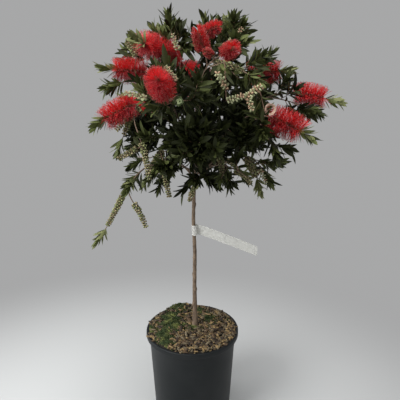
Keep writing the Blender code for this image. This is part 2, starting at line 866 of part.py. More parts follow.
def fuse(mass, collection, finish):
    """Joins a mass's twigs, leaves and flowers into one body, and removes the loose ones."""
    pieces = list(mass.collection.objects)
    stem = pieces[0]
    mass.collection.objects.unlink(stem)
    bpy.context.scene.collection.objects.link(stem)
    union = stem.modifiers.new("union", "BOOLEAN")
    union.operation = "UNION"
    union.operand_type = "COLLECTION"
    union.collection = mass.collection
    union.solver = "MANIFOLD"
    mesh = evaluated_mesh(stem)
    keep_largest_island(mesh)
    for piece in pieces:
        bpy.data.objects.remove(piece)
    bpy.data.collections.remove(mass.collection)
    mesh.materials.clear()
    mesh.materials.append(finish)
    return link_mesh(f"foliage_{mass.name}", mesh, collection)


def make_label(collection, finish):
    """A strip that goes once round the stem, rests against its left side and hangs out to the right."""
    middle, _ = stem_at(LABEL_HEIGHT)
    edges = [stem_at(LABEL_HEIGHT + k * LABEL_WIDTH / 2) for k in (-1, 0, 1)]
    stem_side = min(axis.x - radius for axis, radius in edges)
    middle.x = stem_side - CLEARANCE - LABEL_THICKNESS / 2 + LABEL_LOOP
    loop = []
    for k in range(LABEL_TURNS + 1):
        angle = math.radians(-40 - 290 * k / LABEL_TURNS)
        loop.append((LABEL_LOOP * math.cos(angle), LABEL_LOOP * math.sin(angle)))
    start_x, start_y = loop[-1]
    tail = []
    for k in range(1, LABEL_TAIL_STEPS + 1):
        share = k / LABEL_TAIL_STEPS
        tail.append((start_x + LABEL_TAIL * share, start_y - 0.006 * math.sin(math.pi * share)))
    plan = [(middle.x + x, middle.y + y, LABEL_HEIGHT) for x, y in loop + tail]
    ribbon = polyline_object("label_draft", plan, collection)
    ribbon.data.extrude = LABEL_WIDTH / 2
    mesh = evaluated_mesh(ribbon)
    bpy.data.objects.remove(ribbon)
    for vertex in mesh.vertices:
        share = max(0.0, (vertex.co.x - middle.x - start_x) / LABEL_TAIL)
        vertex.co.z -= LABEL_DROOP * share**1.2
    label = link_mesh("label", mesh, collection)
    wall = label.modifiers.new("thickness", "SOLIDIFY")
    wall.thickness = LABEL_THICKNESS
    wall.offset = 0
    label.data.materials.append(finish)
    return label


def make_limbs(collection, helpers, finish):
    """The stem and the boughs, and each bough's path by name."""
    round_section = tube_section(STEM_SIDES, helpers)
    bough_section = tube_section(BOUGH_SIDES, helpers)
    points, radii = stem_path()
    limbs = [tube("stem", points, radii, round_section, collection)]
    paths = {}
    for name in BOUGHS:
        paths[name] = bough_path(name, paths)
        limbs.append(tube(f"bough_{name}", *paths[name], bough_section, collection))
    for limb in limbs:
        limb.data.materials.append(finish)
        shade_smooth(limb, 50)
    return limbs, {name: path[0] for name, path in paths.items()}


def tree_of(items):
    points = []
    faces = []
    for item in items:
        mesh = evaluated_mesh(item)
        first = len(points)
        points += [vertex.co.copy() for vertex in mesh.vertices]
        faces += [[first + k for k in face.vertices] for face in mesh.polygons]
    return BVHTree.FromPolygons(points, faces)


def main():
    clear_scene()
    plant = new_collection("bottlebrush_plant")
    helpers = new_collection("cutters_and_sections")
    black_plastic = material("black_plastic", (0.025, 0.028, 0.028), 0.45)
    bark_mulch = material("bark_mulch", (0.16, 0.10, 0.05), 0.9)
    bark = material("bark", (0.20, 0.13, 0.08), 0.8)
    foliage = material("foliage", (0.04, 0.10, 0.03), 0.5)
    white_plastic = material("white_plastic", (0.75, 0.76, 0.74), 0.4)

    pot = make_pot(plant, helpers, black_plastic)
    mulch = make_mulch(plant, bark_mulch)
    limbs, boughs = make_limbs(plant, helpers, bark)
    label = make_label(plant, white_plastic)
    section = tube_section(3, helpers)
    limb_tree = tree_of([pot, mulch, label, *limbs])
    for mass in grow_masses(boughs, limb_tree, section):
        fuse(mass, plant, foliage)


main()
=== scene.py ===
"""Looks of the potted bottlebrush: bark, twigs, leaves, red brushes, capsules, mulch, pot and label.

The head grows here by the same rule and from the same tables as the solids do: boughs, the shoots
of each mass and their side twigs. It is then carried on to finer twigs, leaves of true size, single
stamens and single capsules. Metres, +Z up, -Y towards the viewer.
"""

import math
import random

import bmesh
import bpy
import numpy as np
from mathutils import Matrix, Vector, noise
from mathutils.kdtree import KDTree


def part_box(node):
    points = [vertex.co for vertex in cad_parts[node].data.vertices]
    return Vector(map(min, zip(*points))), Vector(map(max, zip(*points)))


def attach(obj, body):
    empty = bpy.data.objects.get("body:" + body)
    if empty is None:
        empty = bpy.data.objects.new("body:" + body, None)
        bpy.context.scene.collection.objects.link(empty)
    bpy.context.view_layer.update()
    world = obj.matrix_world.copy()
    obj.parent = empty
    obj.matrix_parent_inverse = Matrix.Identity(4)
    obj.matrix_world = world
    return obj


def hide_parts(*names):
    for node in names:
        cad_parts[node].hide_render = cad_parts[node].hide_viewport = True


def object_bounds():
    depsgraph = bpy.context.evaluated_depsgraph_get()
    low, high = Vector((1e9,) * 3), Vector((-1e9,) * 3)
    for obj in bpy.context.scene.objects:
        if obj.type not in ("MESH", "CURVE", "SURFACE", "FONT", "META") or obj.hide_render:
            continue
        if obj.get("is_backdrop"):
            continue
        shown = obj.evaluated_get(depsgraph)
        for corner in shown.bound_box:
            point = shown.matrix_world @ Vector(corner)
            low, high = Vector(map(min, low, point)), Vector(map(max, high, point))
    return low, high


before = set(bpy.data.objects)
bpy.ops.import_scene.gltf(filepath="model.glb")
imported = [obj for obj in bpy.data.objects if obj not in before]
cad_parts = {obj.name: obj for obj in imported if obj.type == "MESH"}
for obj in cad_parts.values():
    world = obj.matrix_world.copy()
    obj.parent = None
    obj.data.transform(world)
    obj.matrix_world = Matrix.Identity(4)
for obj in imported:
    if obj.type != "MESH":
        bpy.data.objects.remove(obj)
cad_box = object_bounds()

UP = Vector((0, 0, 1))
SEED = 7

# Camera, solved from the pot's rim
CAMERA_PLACE = (0.020, -0.972, 0.851)
CAMERA_DOWN = 14.7
SENSOR = 36.0
LENS = 37.35

# Pot and mulch, from the frame
pot_low, pot_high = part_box("pot")
POT_HEIGHT = pot_high.z
RIM_RADIUS = (pot_high.x - pot_low.x) / 2
FOOT_RADIUS = 0.0990
SHOULDER_RADIUS = 0.1118
LIP_HEIGHT = 0.013
LIP_ROUND = 0.0025
WALL = 0.0025
FLOOR = 0.0035
FOOT_ROUND = 0.003
DRAIN_RADIUS = 0.0065
DRAIN_RING = 0.068
DRAIN_COUNT = 8
POT_STEPS = 128
MULCH_CROWN = 0.0080
MULCH_DEPTH = 0.030
MULCH_RINGS = 30
MOSS_MOUNDS = (
    # azimuth, distance from the middle, radius, height
    (113, 0.104, 0.044, 0.013),
    (150, 0.070, 0.040, 0.006),
    (184, 0.054, 0.040, 0.006),
    (212, 0.085, 0.030, 0.005),
    (231, 0.104, 0.022, 0.004),
    (293, 0.013, 0.020, 0.003),
    (33, 0.054, 0.030, 0.005),
    (186, 0.116, 0.026, 0.006),
    (76, 0.080, 0.026, 0.005),
)
CHIP_COUNT = 2600
CHIP_LENGTHS = (0.0020, 0.0026, 0.0032, 0.0038, 0.0046, 0.0060, 0.0085)
MOSS_COUNT = 9500
MOSS_SIZES = (0.0022, 0.0046)
# How far out the chips spill towards one side of the rim
SPILL = 0.085
SPILL_AZIMUTH = math.radians(186)

# Stem: height above the mulch, sideways drift and radius
STEM_X = 0.0065
STEM_TOP = 0.735
STEM_STATIONS = (
    (0.000, 0.0008, 0.0086),
    (0.012, 0.0008, 0.0069),
    (0.040, 0.0004, 0.0058),
    (0.110, -0.0006, 0.0050),
    (0.200, 0.0006, 0.0046),
    (0.290, -0.0026, 0.0043),
    (0.370, -0.0004, 0.0041),
    (0.430, 0.0014, 0.0037),
    (0.473, 0.0022, 0.0031),
)
STEM_STEP = 0.0025
STEM_RELIEF = (0.0009, 260)
BOUGH_RELIEF = (0.00035, 420)
KNOT_RADIUS = 0.006
KNOT_SWELL = 0.0017
STEM_KNOTS = ((0.318, 200), (0.361, 330), (0.402, 140), (0.447, 250), (0.585, 20), (0.612, 175))

# Boughs, shoots and twigs
BOUGH_STATION = 0.030
BOUGH_FOOT = 0.0026
BOUGH_TIP = 0.0016
BRANCH_FOOT = 0.0021
BOUGH_RISE = 0.75
BOUGH_ARCH = 0.04
SHOOT_FOOT = 0.0015
SHOOT_TIP = 0.0009
SHOOT_STEP = 0.008
SHOOT_START = 0.16
SHOOT_START_STEP = 0.12
SIDE_FOOT = 0.0011
SIDE_TIP = 0.0007
SIDE_LENGTH = 0.070
SIDE_SPACING = 0.075
NO_SIDE_TWIGS = ("weeping_left", "weeping_right", "lower_front", "lower_left")
NO_FINE_TWIGS = ("weeping_left",)
FINE_LENGTH = 0.048
FINE_SPACING = 0.028
BOUGH_TWIG_SPACING = 0.011
GOLDEN_ANGLE = math.radians(137.5)
SPACE_POINTS = 5

# Leaves
LEAF_LENGTH = 0.037
LEAF_WIDTH = 0.0096
LEAF_THICKNESS = 0.0006
LEAF_FOLD = 0.0010
LEAF_BANDS = 5
LEAF_SPACING = 0.0058
LEAF_SLANT = math.radians(54)
LEAF_CURLS = (-0.05, 0.08, 0.20)
LEAF_SKEWS = (-0.06, 0.0, 0.06)
BARE_SHARE = 0.16
SHOOT_BARE_SHARE = 0.30
TUFT_REACH = 0.034
TUFT_STEM = 0.007
TUFT_LEAVES = 20
TUFT_DEPTH = 0.032
# How much fresher young leaves are on a shoot, its side twigs and their twigs, and what a burden adds
YOUNG_FRESH = (0.45, 0.25, 0.10)
BURDEN_FRESH = 0.15
TONES_PER_LIGHT = 3.4
TONE_STEPS = (-1, 0, 0, 0, 1)

# How densely a mass is leaved and twigged, where it differs from the rest of the head
DENSITY = {
    "inner_front": 1.7,
    "inner_left": 1.8,
    "inner_right": 1.7,
    "inner_back": 1.6,
    "upper_back": 1.6,
    "back": 1.5,
    "back_right": 1.3,
    "front": 1.3,
    "right": 1.7,
    "front_right": 1.4,
    "upper_right": 0.9,
    "lower_front": 0.80,
    "lower_left": 0.80,
    "lower_right": 0.65,
    "weeping_left": 0.40,
    "weeping_right": 0.45,
    "left": 0.80,
    "lower_back_left": 0.70,
    "lower_back_right": 0.70,
}
# How much paler the leaves of some masses are than their place gives, added to the same sum as the painted
# light of spray_tone
PALER_MASSES = {
    "weeping_right": 0.25,
    "lower_right": 0.20,
    "weeping_left": 0.15,
    "top_right": 0.10,
    "upper_right": 0.10,
}
# Boughs that bear leafy twigs themselves
LEAFY_BOUGHS = (
    "leader", "top_right", "front", "front_left", "upper_left", "upper_right", "upper_back",
    "inner_front", "inner_right", "right", "front_right",
)
# How far leaves and twigs keep off what another shoot bears
CLEARING = {
    "brush": 0.036,
    "far_brush": 0.036,
    "end_brush": 0.036,
    "small_brush": 0.028,
    "capsules": 0.014,
    "end_capsules": 0.014,
    "bud": 0.016,
    "young_buds": 0.011,
    "withered": 0.014,
}
YOUNG_CLEARING = 0.65
# How far out the room of a brush goes on, and how far forward that of capsules does
OPEN_SIDE = (0.025, 0.050)
OPEN_FRONT = (0.020, 0.040, 0.060, 0.080)
LARGE_CLEARING = 0.03
HEAD_MIDDLE = Vector((STEM_X, 0, 0.79))

# Brushes, capsules and buds
BRUSH_LENGTH = 0.066
SMALL_BRUSH_LENGTH = 0.036
BRUSH_REACH = 0.0305
BRUSH_SWELL = {"front_left": 0.88, "front_right": 1.12}
BRUSH_TAIL = 0.016
LONG_TAIL = 0.027
FLOWERS = 58
FLOWER_STAMENS = 23
FLOWER_SPREAD = 0.20
CALYX = (0.0022, 0.0022, 0.0045)
STAMEN_FOOT = 0.00032
ANTHER = 0.00055
CAPSULES_LENGTH = 0.082
CAPSULES_TAIL = 0.032
CAPSULE_RADIUS = 0.0028
CAPSULE_STEP = 0.0058
WITHERED_RADIUS = 0.0066
WITHERED_WIDTH = 0.014
YOUNG_BUD = 0.0020
YOUNG_BUD_STEP = 0.0050
BUD_LENGTH = 0.026
BUD_SCALE = 0.018
BUD_SCALES = 60

# Label
LABEL_HEIGHT = 0.520
LABEL_WIDTH = 0.025
LABEL_THICKNESS = 0.0005
LABEL_LOOP = 0.0078
LABEL_TAIL = 0.150
LABEL_DROOP = 0.058
LABEL_BOW = 0.006
LABEL_RIPPLE = 0.0007
LABEL_CORNER = 0.004
LOOP_STEPS = 36
TAIL_STEPS = 60
CLEARANCE = 0.0003

# Each bough: where it starts, as "stem" and a height or a bough and a share of its length, and
# the azimuth, reach and height of its tip. Azimuth 0 is +X, and 270 faces the viewer.
BOUGHS = {
    "leader": ("stem", STEM_TOP, (172, 0.026, 0.850)),
    "top_right": ("leader", 0.42, (8, 0.040, 0.868)),
    "upper_back": ("leader", 0.70, (96, 0.050, 0.875)),
    "upper_left": ("stem", 0.716, (184, 0.085, 0.872)),
    "left": ("upper_left", 0.45, (209, 0.100, 0.818)),
    "front_left": ("stem", 0.700, (250, 0.090, 0.792)),
    "lower_left": ("front_left", 0.45, (229, 0.080, 0.712)),
    "front": ("stem", 0.724, (286, 0.062, 0.868)),
    "upper_right": ("stem", 0.708, (4, 0.085, 0.866)),
    "right": ("stem", 0.690, (-2, 0.138, 0.820)),
    "front_right": ("right", 0.40, (-28, 0.118, 0.790)),
    "weeping_right": ("stem", 0.660, (2, 0.115, 0.700)),
    "lower_right": ("weeping_right", 0.40, (-38, 0.085, 0.690)),
    "weeping_left": ("stem", 0.668, (199, 0.082, 0.688)),
    "lower_front": ("stem", 0.642, (-78, 0.045, 0.672)),
    "inner_front": ("stem", 0.673, (-84, 0.055, 0.735)),
    "inner_left": ("stem", 0.684, (206, 0.055, 0.735)),
    "inner_right": ("stem", 0.677, (-15, 0.055, 0.728)),
    "inner_back": ("stem", 0.694, (84, 0.055, 0.738)),
    "back": ("stem", 0.722, (92, 0.110, 0.800)),
    "back_left": ("back", 0.40, (136, 0.125, 0.785)),
    "back_right": ("stem", 0.682, (44, 0.125, 0.775)),
    "lower_back_left": ("stem", 0.654, (136, 0.085, 0.700)),
    "lower_back_right": ("stem", 0.634, (56, 0.085, 0.680)),
}

# The shoots of the mass at the end of each bough, the leading one first: what it bears, then the
# azimuth, reach and height of its tip, and how far it arches up (or sags, below zero).
SHOOTS = {
    "leader": (
        ("leaves", 180, 0.059, 1.032, -0.05),
        ("leaves", 200, 0.100, 0.996, -0.10),
        ("brush", 217, 0.092, 0.985, 0.00),
        ("brush", 223, 0.176, 0.960, 0.00),
        ("small_brush", 317, 0.066, 0.981, 0.00),
        ("leaves", 264, 0.095, 0.935, 0.00),
    ),
    "top_right": (
        ("leaves", 60, 0.045, 1.028, 0.00),
        ("leaves", 24, 0.078, 1.022, -0.08),
        ("leaves", -5, 0.121, 1.005, -0.10),
        ("leaves", -22, 0.138, 0.958, -0.10),
    ),
    "upper_left": (
        ("brush", 188, 0.221, 0.908, 0.00),
        ("leaves", 197, 0.215, 0.853, 0.00),
        ("leaves", 172, 0.150, 0.975, -0.08),
    ),
    "left": (
        ("brush", 199, 0.247, 0.776, 0.12),
        ("capsules", 195, 0.190, 0.700, 0.20),
        ("end_capsules", 228, 0.142, 0.668, 0.30),
    ),
    "front_left": (
        ("end_brush", 257, 0.262, 0.872, 0.00),
        ("leaves", 241, 0.228, 0.860, -0.10),
        ("leaves", 256, 0.195, 0.915, -0.10),
        ("bud", 265, 0.250, 0.834, 0.00),
    ),
    "front": (
        ("small_brush", 292, 0.199, 0.926, 0.05),
        ("leaves", 287, 0.225, 0.905, 0.00),
        ("small_brush", 276, 0.100, 0.963, 0.00),
        ("capsules", 305, 0.242, 0.862, 0.10),
        ("small_brush", 281, 0.128, 0.926, 0.00),
    ),
    "upper_right": (
        ("brush", 0, 0.238, 0.902, 0.03),
        ("leaves", 12, 0.158, 0.945, -0.08),
        ("leaves", 336, 0.175, 0.915, -0.08),
    ),
    "right": (
        ("far_brush", 0, 0.354, 0.831, 0.10),
        ("leaves", -9, 0.300, 0.800, 0.05),
        ("leaves", -3, 0.222, 0.900, -0.10),
    ),
    "front_right": (
        ("brush", -26, 0.292, 0.758, 0.12),
        ("leaves", -30, 0.220, 0.695, 0.10),
        ("leaves", -50, 0.215, 0.760, 0.05),
    ),
    "weeping_right": (
        ("leaves", -4, 0.200, 0.628, 0.20),
        ("capsules", -9, 0.165, 0.600, 0.20),
        ("leaves", 4, 0.206, 0.672, 0.15),
    ),
    "lower_right": (
        ("end_capsules", -33, 0.150, 0.655, 0.20),
        ("leaves", -67, 0.125, 0.655, 0.15),
        ("leaves", -50, 0.190, 0.675, 0.10),
    ),
    "weeping_left": (
        ("capsules", 192, 0.249, 0.494, 0.02),
        ("leaves", 216, 0.192, 0.636, 0.10),
        ("leaves", 202, 0.175, 0.645, 0.10),
        ("end_capsules", 208, 0.126, 0.546, 0.15),
    ),
    "lower_left": (
        ("leaves", 233, 0.115, 0.652, 0.15),
        ("leaves", 214, 0.130, 0.660, 0.15),
        ("leaves", 246, 0.176, 0.700, 0.05),
    ),
    "lower_front": (
        ("leaves", -57, 0.115, 0.648, 0.15),
        ("end_capsules", -104, 0.044, 0.604, 0.25),
        ("leaves", -92, 0.140, 0.668, 0.05),
    ),
    "inner_front": (
        ("leaves", -100, 0.145, 0.795, 0.00),
        ("leaves", -66, 0.150, 0.760, 0.00),
        ("leaves", -118, 0.150, 0.740, 0.00),
        ("leaves", -86, 0.170, 0.715, 0.05),
    ),
    "inner_left": (
        ("leaves", 200, 0.150, 0.790, 0.00),
        ("leaves", 224, 0.165, 0.765, 0.00),
        ("leaves", 185, 0.165, 0.725, 0.05),
    ),
    "inner_right": (
        ("leaves", -18, 0.165, 0.800, 0.00),
        ("leaves", 8, 0.190, 0.745, 0.00),
        ("leaves", -40, 0.170, 0.745, 0.00),
    ),
    "inner_back": (
        ("leaves", 84, 0.150, 0.800, 0.00),
        ("leaves", 112, 0.170, 0.735, 0.00),
        ("leaves", 56, 0.170, 0.745, 0.00),
    ),
    "upper_back": (
        ("brush", 95, 0.195, 0.920, -0.05),
        ("leaves", 60, 0.105, 1.005, -0.08),
        ("leaves", 128, 0.140, 0.975, -0.08),
    ),
    "back": (
        ("brush", 84, 0.262, 0.872, -0.05),
        ("brush", 66, 0.195, 0.930, -0.05),
        ("leaves", 102, 0.245, 0.800, 0.05),
    ),
    "back_left": (
        ("brush", 141, 0.262, 0.842, -0.05),
        ("leaves", 124, 0.215, 0.905, -0.08),
        ("leaves", 156, 0.240, 0.780, 0.05),
    ),
    "back_right": (
        ("brush", 40, 0.285, 0.815, -0.05),
        ("leaves", 28, 0.230, 0.885, -0.08),
        ("leaves", 60, 0.240, 0.755, 0.10),
    ),
    "lower_back_left": (
        ("capsules", 139, 0.205, 0.590, 0.20),
        ("leaves", 112, 0.165, 0.625, 0.20),
        ("leaves", 160, 0.195, 0.660, 0.10),
    ),
    "lower_back_right": (
        ("capsules", 38, 0.205, 0.610, 0.20),
        ("leaves", 62, 0.185, 0.600, 0.20),
        ("leaves", 84, 0.170, 0.635, 0.10),
    ),
}

# What hangs from finer twigs than the solids have: what it is, its mass, its thickness, and the
# azimuth, reach and height of its two ends.
STRINGS = (
    ("capsules", "left", 1.0, (206, 0.137, 0.730), (200, 0.178, 0.706)),
    ("capsules", "lower_left", 1.1, (194, 0.081, 0.720), (207, 0.066, 0.611)),
    ("capsules", "lower_right", 1.0, (310, 0.092, 0.712), (308, 0.101, 0.671)),
    ("capsules", "weeping_right", 1.2, (332, 0.130, 0.710), (336, 0.149, 0.665)),
    ("young_buds", "weeping_right", 1.0, (345, 0.153, 0.679), (343, 0.171, 0.649)),
    ("young_buds", "front", 1.0, (287, 0.209, 0.834), (294, 0.229, 0.843)),
    ("young_buds", "front", 1.2, (295, 0.221, 0.837), (302, 0.236, 0.860)),
    ("young_buds", "front", 1.0, (297, 0.224, 0.839), (297, 0.236, 0.816)),
    ("young_buds", "front", 1.1, (288, 0.199, 0.857), (281, 0.224, 0.881)),
    ("young_buds", "top_right", 1.0, (332, 0.085, 0.949), (339, 0.111, 0.979)),
    ("young_buds", "leader", 1.0, (246, 0.077, 0.931), (239, 0.081, 0.965)),
    ("capsules", "upper_left", 0.8, (207, 0.134, 0.920), (200, 0.150, 0.952)),
    ("young_buds", "front_left", 0.9, (246, 0.208, 0.839), (233, 0.213, 0.848)),
    ("young_buds", "front_left", 0.7, (258, 0.225, 0.893), (264, 0.241, 0.869)),
    ("withered", "front", 1.0, (304, 0.238, 0.812), (305, 0.245, 0.820)),
    ("capsules", "back_right", 1.0, (48, 0.190, 0.745), (46, 0.215, 0.695)),
    ("young_buds", "back", 1.0, (98, 0.215, 0.850), (112, 0.228, 0.868)),
    ("capsules", "back_left", 1.0, (150, 0.180, 0.790), (157, 0.215, 0.755)),
    ("young_buds", "upper_back", 1.0, (110, 0.120, 0.930), (120, 0.150, 0.950)),
)

MASS_NODES = [f"foliage_{name}" for name in SHOOTS]

# What a shoot bears: its length, and how much of the shoot goes on past it.
BURDENS = {
    "brush": (BRUSH_LENGTH, BRUSH_TAIL),
    "far_brush": (BRUSH_LENGTH, LONG_TAIL),
    "end_brush": (BRUSH_LENGTH, 0),
    "small_brush": (SMALL_BRUSH_LENGTH, 0),
    "capsules": (CAPSULES_LENGTH, CAPSULES_TAIL),
    "end_capsules": (CAPSULES_LENGTH, 0),
    "bud": (BUD_LENGTH, 0),
}

# Leaves, from the dark middle of the head, which is painted shade, to its young tips, which are paler both
# for their youth and for painted light
GREENS = (
    ("shade", (0.013, 0.016, 0.005)),
    ("dark", (0.027, 0.033, 0.010)),
    ("green", (0.054, 0.065, 0.020)),
    ("fresh", (0.105, 0.124, 0.040)),
    ("pale", (0.195, 0.210, 0.090)),
)

# Chips and moss, each in its dark and its pale tone
CHIP_COLOURS = {
    "golden": ((0.15, 0.095, 0.035), (0.36, 0.25, 0.11)),
    "brown": ((0.055, 0.032, 0.015), (0.14, 0.087, 0.042)),
    "dark": ((0.014, 0.009, 0.006), (0.048, 0.031, 0.018)),
    "tan": ((0.080, 0.062, 0.036), (0.21, 0.165, 0.095)),
}
MOSS_COLOURS = {
    "green": ((0.014, 0.030, 0.006), (0.055, 0.085, 0.018)),
    "olive": ((0.030, 0.040, 0.010), (0.115, 0.130, 0.035)),
    "bright": ((0.085, 0.105, 0.022), (0.24, 0.27, 0.075)),
}

# Studio: the grey of the backdrop, and the pool of light round the pot
BACKDROP = (0.386, 0.388, 0.390)
POOL_COLOUR = (0.58, 0.592, 0.590)
POOL_MIDDLE = (-0.14, -0.15, 0)
POOL_REACH = (0.22, 1.15)
LIGHTS = (
    # name, place, size and power
    ("key_softbox", (-1.9, -1.5, 2.1), 1.6, 75),
    ("top_softbox", (0.2, -0.3, 2.9), 1.6, 40),
    ("side_softbox", (-2.2, 0.4, 0.9), 1.4, 16),
)


# Shader building

class Wire:
    """A shader socket that takes part in sums: each operator adds a Math node."""

    def __init__(self, finish, socket):
        self.finish = finish
        self.socket = socket

    def maths(self, operation, *values):
        return self.finish.node("ShaderNodeMath", {"operation": operation}, dict(enumerate(values)))

    def __add__(self, other):
        return self.maths("ADD", self, other)

    def __radd__(self, other):
        return self.maths("ADD", other, self)

    def __sub__(self, other):
        return self.maths("SUBTRACT", self, other)

    def __rsub__(self, other):
        return self.maths("SUBTRACT", other, self)

    def __mul__(self, other):
        return self.maths("MULTIPLY", self, other)

    def __rmul__(self, other):
        return self.maths("MULTIPLY", other, self)


class Finish:
    """A material made of shader nodes round one Principled shader."""

    def __init__(self, name, colour, roughness, **constants):
        self.material = bpy.data.materials.new(name)
        self.material.use_nodes = True
        self.tree = self.material.node_tree
        self.shader = self.tree.nodes["Principled BSDF"]
        self.feed("Base Color", colour)
        self.feed("Roughness", roughness)
        for socket, value in constants.items():
            self.feed(socket.replace("_", " ").title().replace("Ior", "IOR"), value)

    def set(self, socket, value):
        if isinstance(value, Wire):
            self.tree.links.new(value.socket, socket)
        elif socket.type == "RGBA":
            socket.default_value = (*value, 1)
        else:
            socket.default_value = value

    def feed(self, name, value):
        self.set(self.shader.inputs[name], value)

    def node(self, kind, settings=None, inputs=None, output=0):
        """Adds a node: its settings first, then the values or links of its sockets."""
        made = self.tree.nodes.new(kind)
        for key, value in (settings or {}).items():
            if key == "stops":
                ramp = made.color_ramp
                while len(ramp.elements) < len(value):
                    ramp.elements.new(1)
                for element, (place, colour) in zip(ramp.elements, value):
                    element.position = place
                    element.color = (*colour, 1)
            else:
                setattr(made, key, value)
        for key, value in (inputs or {}).items():
            self.set(made.inputs[key], value)
        return Wire(self, made.outputs[output])

    def here(self, stretch=(1, 1, 1)):
        place = self.node("ShaderNodeTexCoord", output="Object")
        return self.node("ShaderNodeMapping", inputs={"Vector": place, "Scale": stretch})

    def noise(self, scale, detail=4, stretch=(1, 1, 1), rough=0.55):
        inputs = {"Vector": self.here(stretch), "Scale": scale, "Detail": detail, "Roughness": rough}
        return self.node("ShaderNodeTexNoise", inputs=inputs)

    def fade(self, factor, black, white):
        """A factor spread out so that it is 0 at one value and 1 at another."""
        stops = ((black, (0, 0, 0)), (white, (1, 1, 1)))
        return self.node("ShaderNodeValToRGB", {"stops": stops}, {"Fac": factor})

    def mix(self, factor, first, second):
        return self.node("ShaderNodeMix", {"data_type": "RGBA"}, {0: factor, 6: first, 7: second}, 2)

    def bump(self, height, distance, strength=1.0):
        inputs = {"Height": height, "Distance": distance, "Strength": strength}
        self.feed("Normal", self.node("ShaderNodeBump", inputs=inputs))


def plastic_finish():
    """Dark injection-moulded plastic with scuffs and a breath of dust."""
    made = Finish("pot_plastic", (0.02, 0.02, 0.02), 0.45, specular_ior_level=0.22)
    dust = made.noise(9, 6)
    scuffs = made.noise(60, 3, (1, 1, 0.25))
    blend = made.fade(dust, 0.40, 0.75)
    made.feed("Base Color", made.mix(blend, (0.007, 0.009, 0.010), (0.016, 0.018, 0.019)))
    made.feed("Roughness", 0.34 + 0.16 * dust + 0.10 * scuffs)
    made.bump(made.noise(420, 3) + 0.6 * made.noise(24, 2), 0.0002, 0.5)
    return made.material


def bark_finish(name, dark, pale, grain):
    """Fibrous bark whose streaks run up the limb, with pale scars."""
    made = Finish(name, pale, 0.85)
    streaks = made.noise(grain, 6, (1, 1, 0.16))
    patches = made.noise(60, 4)
    blend = made.fade(0.65 * streaks + 0.35 * patches, 0.36, 0.62)
    made.feed("Base Color", made.mix(blend, dark, pale))
    made.feed("Roughness", 0.72 + 0.2 * patches)
    made.bump(streaks, 0.0008, 0.8)
    return made.material


def leaf_finish(name, colour, roughness=0.50):
    """A leathery leaf of one plain colour, barely mottled."""
    made = Finish(name, colour, roughness, specular_ior_level=0.12)
    mottle = made.noise(150, 3)
    dull = tuple(0.72 * part for part in colour)
    fresh = tuple(min(1, 1.25 * part) for part in colour)
    made.feed("Base Color", made.mix(mottle, dull, fresh))
    made.feed("Roughness", roughness - 0.06 + 0.14 * mottle)
    made.bump(made.noise(900, 2), 0.0001, 0.4)
    return made.material


def stamen_finish(name, colour, pale):
    """Silky stamen threads of one plain red."""
    made = Finish(name, colour, 0.5, sheen_weight=0.10, sheen_roughness=0.4)
    made.feed("Base Color", made.mix(made.noise(220, 2), colour, pale))
    made.feed("Roughness", 0.42 + 0.15 * made.noise(90, 2))
    return made.material


def woody_finish(name, dark, pale, scale=420, roughness=0.75):
    """Dry, mottled matter such as seed capsules, bark chips and moss."""
    made = Finish(name, pale, roughness)
    speckle = made.noise(scale, 4)
    made.feed("Base Color", made.mix(made.fade(speckle, 0.36, 0.64), dark, pale))
    made.feed("Roughness", roughness - 0.08 + 0.16 * speckle)
    made.bump(speckle, 0.0004, 0.7)
    return made.material


def woody_finishes(kind, colours, *grain):
    return {
        name: woody_finish(f"{kind}_{name}", dark, pale, *grain)
        for name, (dark, pale) in colours.items()
    }


def label_finish():
    """Thin white plastic film, soiled a little in patches."""
    made = Finish("label_film", (0.88, 0.88, 0.85), 0.38, specular_ior_level=0.4)
    soil = made.noise(38, 5)
    made.feed("Base Color", made.mix(soil, (0.93, 0.93, 0.90), (0.82, 0.82, 0.78)))
    made.feed("Roughness", 0.30 + 0.2 * soil)
    made.bump(made.noise(55, 2), 0.0003, 0.2)
    return made.material


def floor_finish():
    """The studio floor: white near the pot, and further off the even grey of the backdrop."""
    made = Finish("studio_floor", (0.6, 0.6, 0.6), 0.9, specular_ior_level=0.0, emission_strength=1.0)
    aside = made.node("ShaderNodeVectorMath", {"operation": "SUBTRACT"}, {0: made.here(), 1: POOL_MIDDLE})
    reach = made.node("ShaderNodeVectorMath", {"operation": "LENGTH"}, {0: aside}, "Value")
    span = {"Value": reach, "From Min": POOL_REACH[0], "From Max": POOL_REACH[1]}
    near = 1 - made.node("ShaderNodeMapRange", {"interpolation_type": "SMOOTHSTEP"}, span)
    made.feed("Base Color", made.mix(near, (0, 0, 0), POOL_COLOUR))
    made.feed("Emission Color", made.mix(near, BACKDROP, (0, 0, 0)))
    return made.material


# Joining and sweeping

def fold_up(bm):
    """A small shape as arrays of its points and its triangles, to be stamped many times."""
    bmesh.ops.triangulate(bm, faces=bm.faces)
    bm.verts.index_update()
    points = np.array([vertex.co for vertex in bm.verts])
    faces = np.array([[vertex.index for vertex in face.verts] for face in bm.faces])
    bm.free()
    return points, faces


def to_mesh(bm, name):
    mesh = bpy.data.meshes.new(name)
    bm.to_mesh(mesh)
    bm.free()
    return mesh


def cone(segments, foot, tip, depth, middle, capped=True):
    """A cone or a tapering prism up Z, with its middle at a height."""
    bm = bmesh.new()
    bmesh.ops.create_cone(
        bm, segments=segments, radius1=foot, radius2=tip, depth=depth, cap_ends=capped
    )
    bmesh.ops.translate(bm, vec=(0, 0, middle), verts=bm.verts)
    return bm


def cut_across(bm, cuts):
    """Cuts the long upright edges of a unit-high cone into bands."""
    upright = [edge for edge in bm.edges if abs(edge.verts[0].co.z - edge.verts[1].co.z) > 0.5]
    bmesh.ops.subdivide_edges(bm, edges=upright, cuts=cuts)


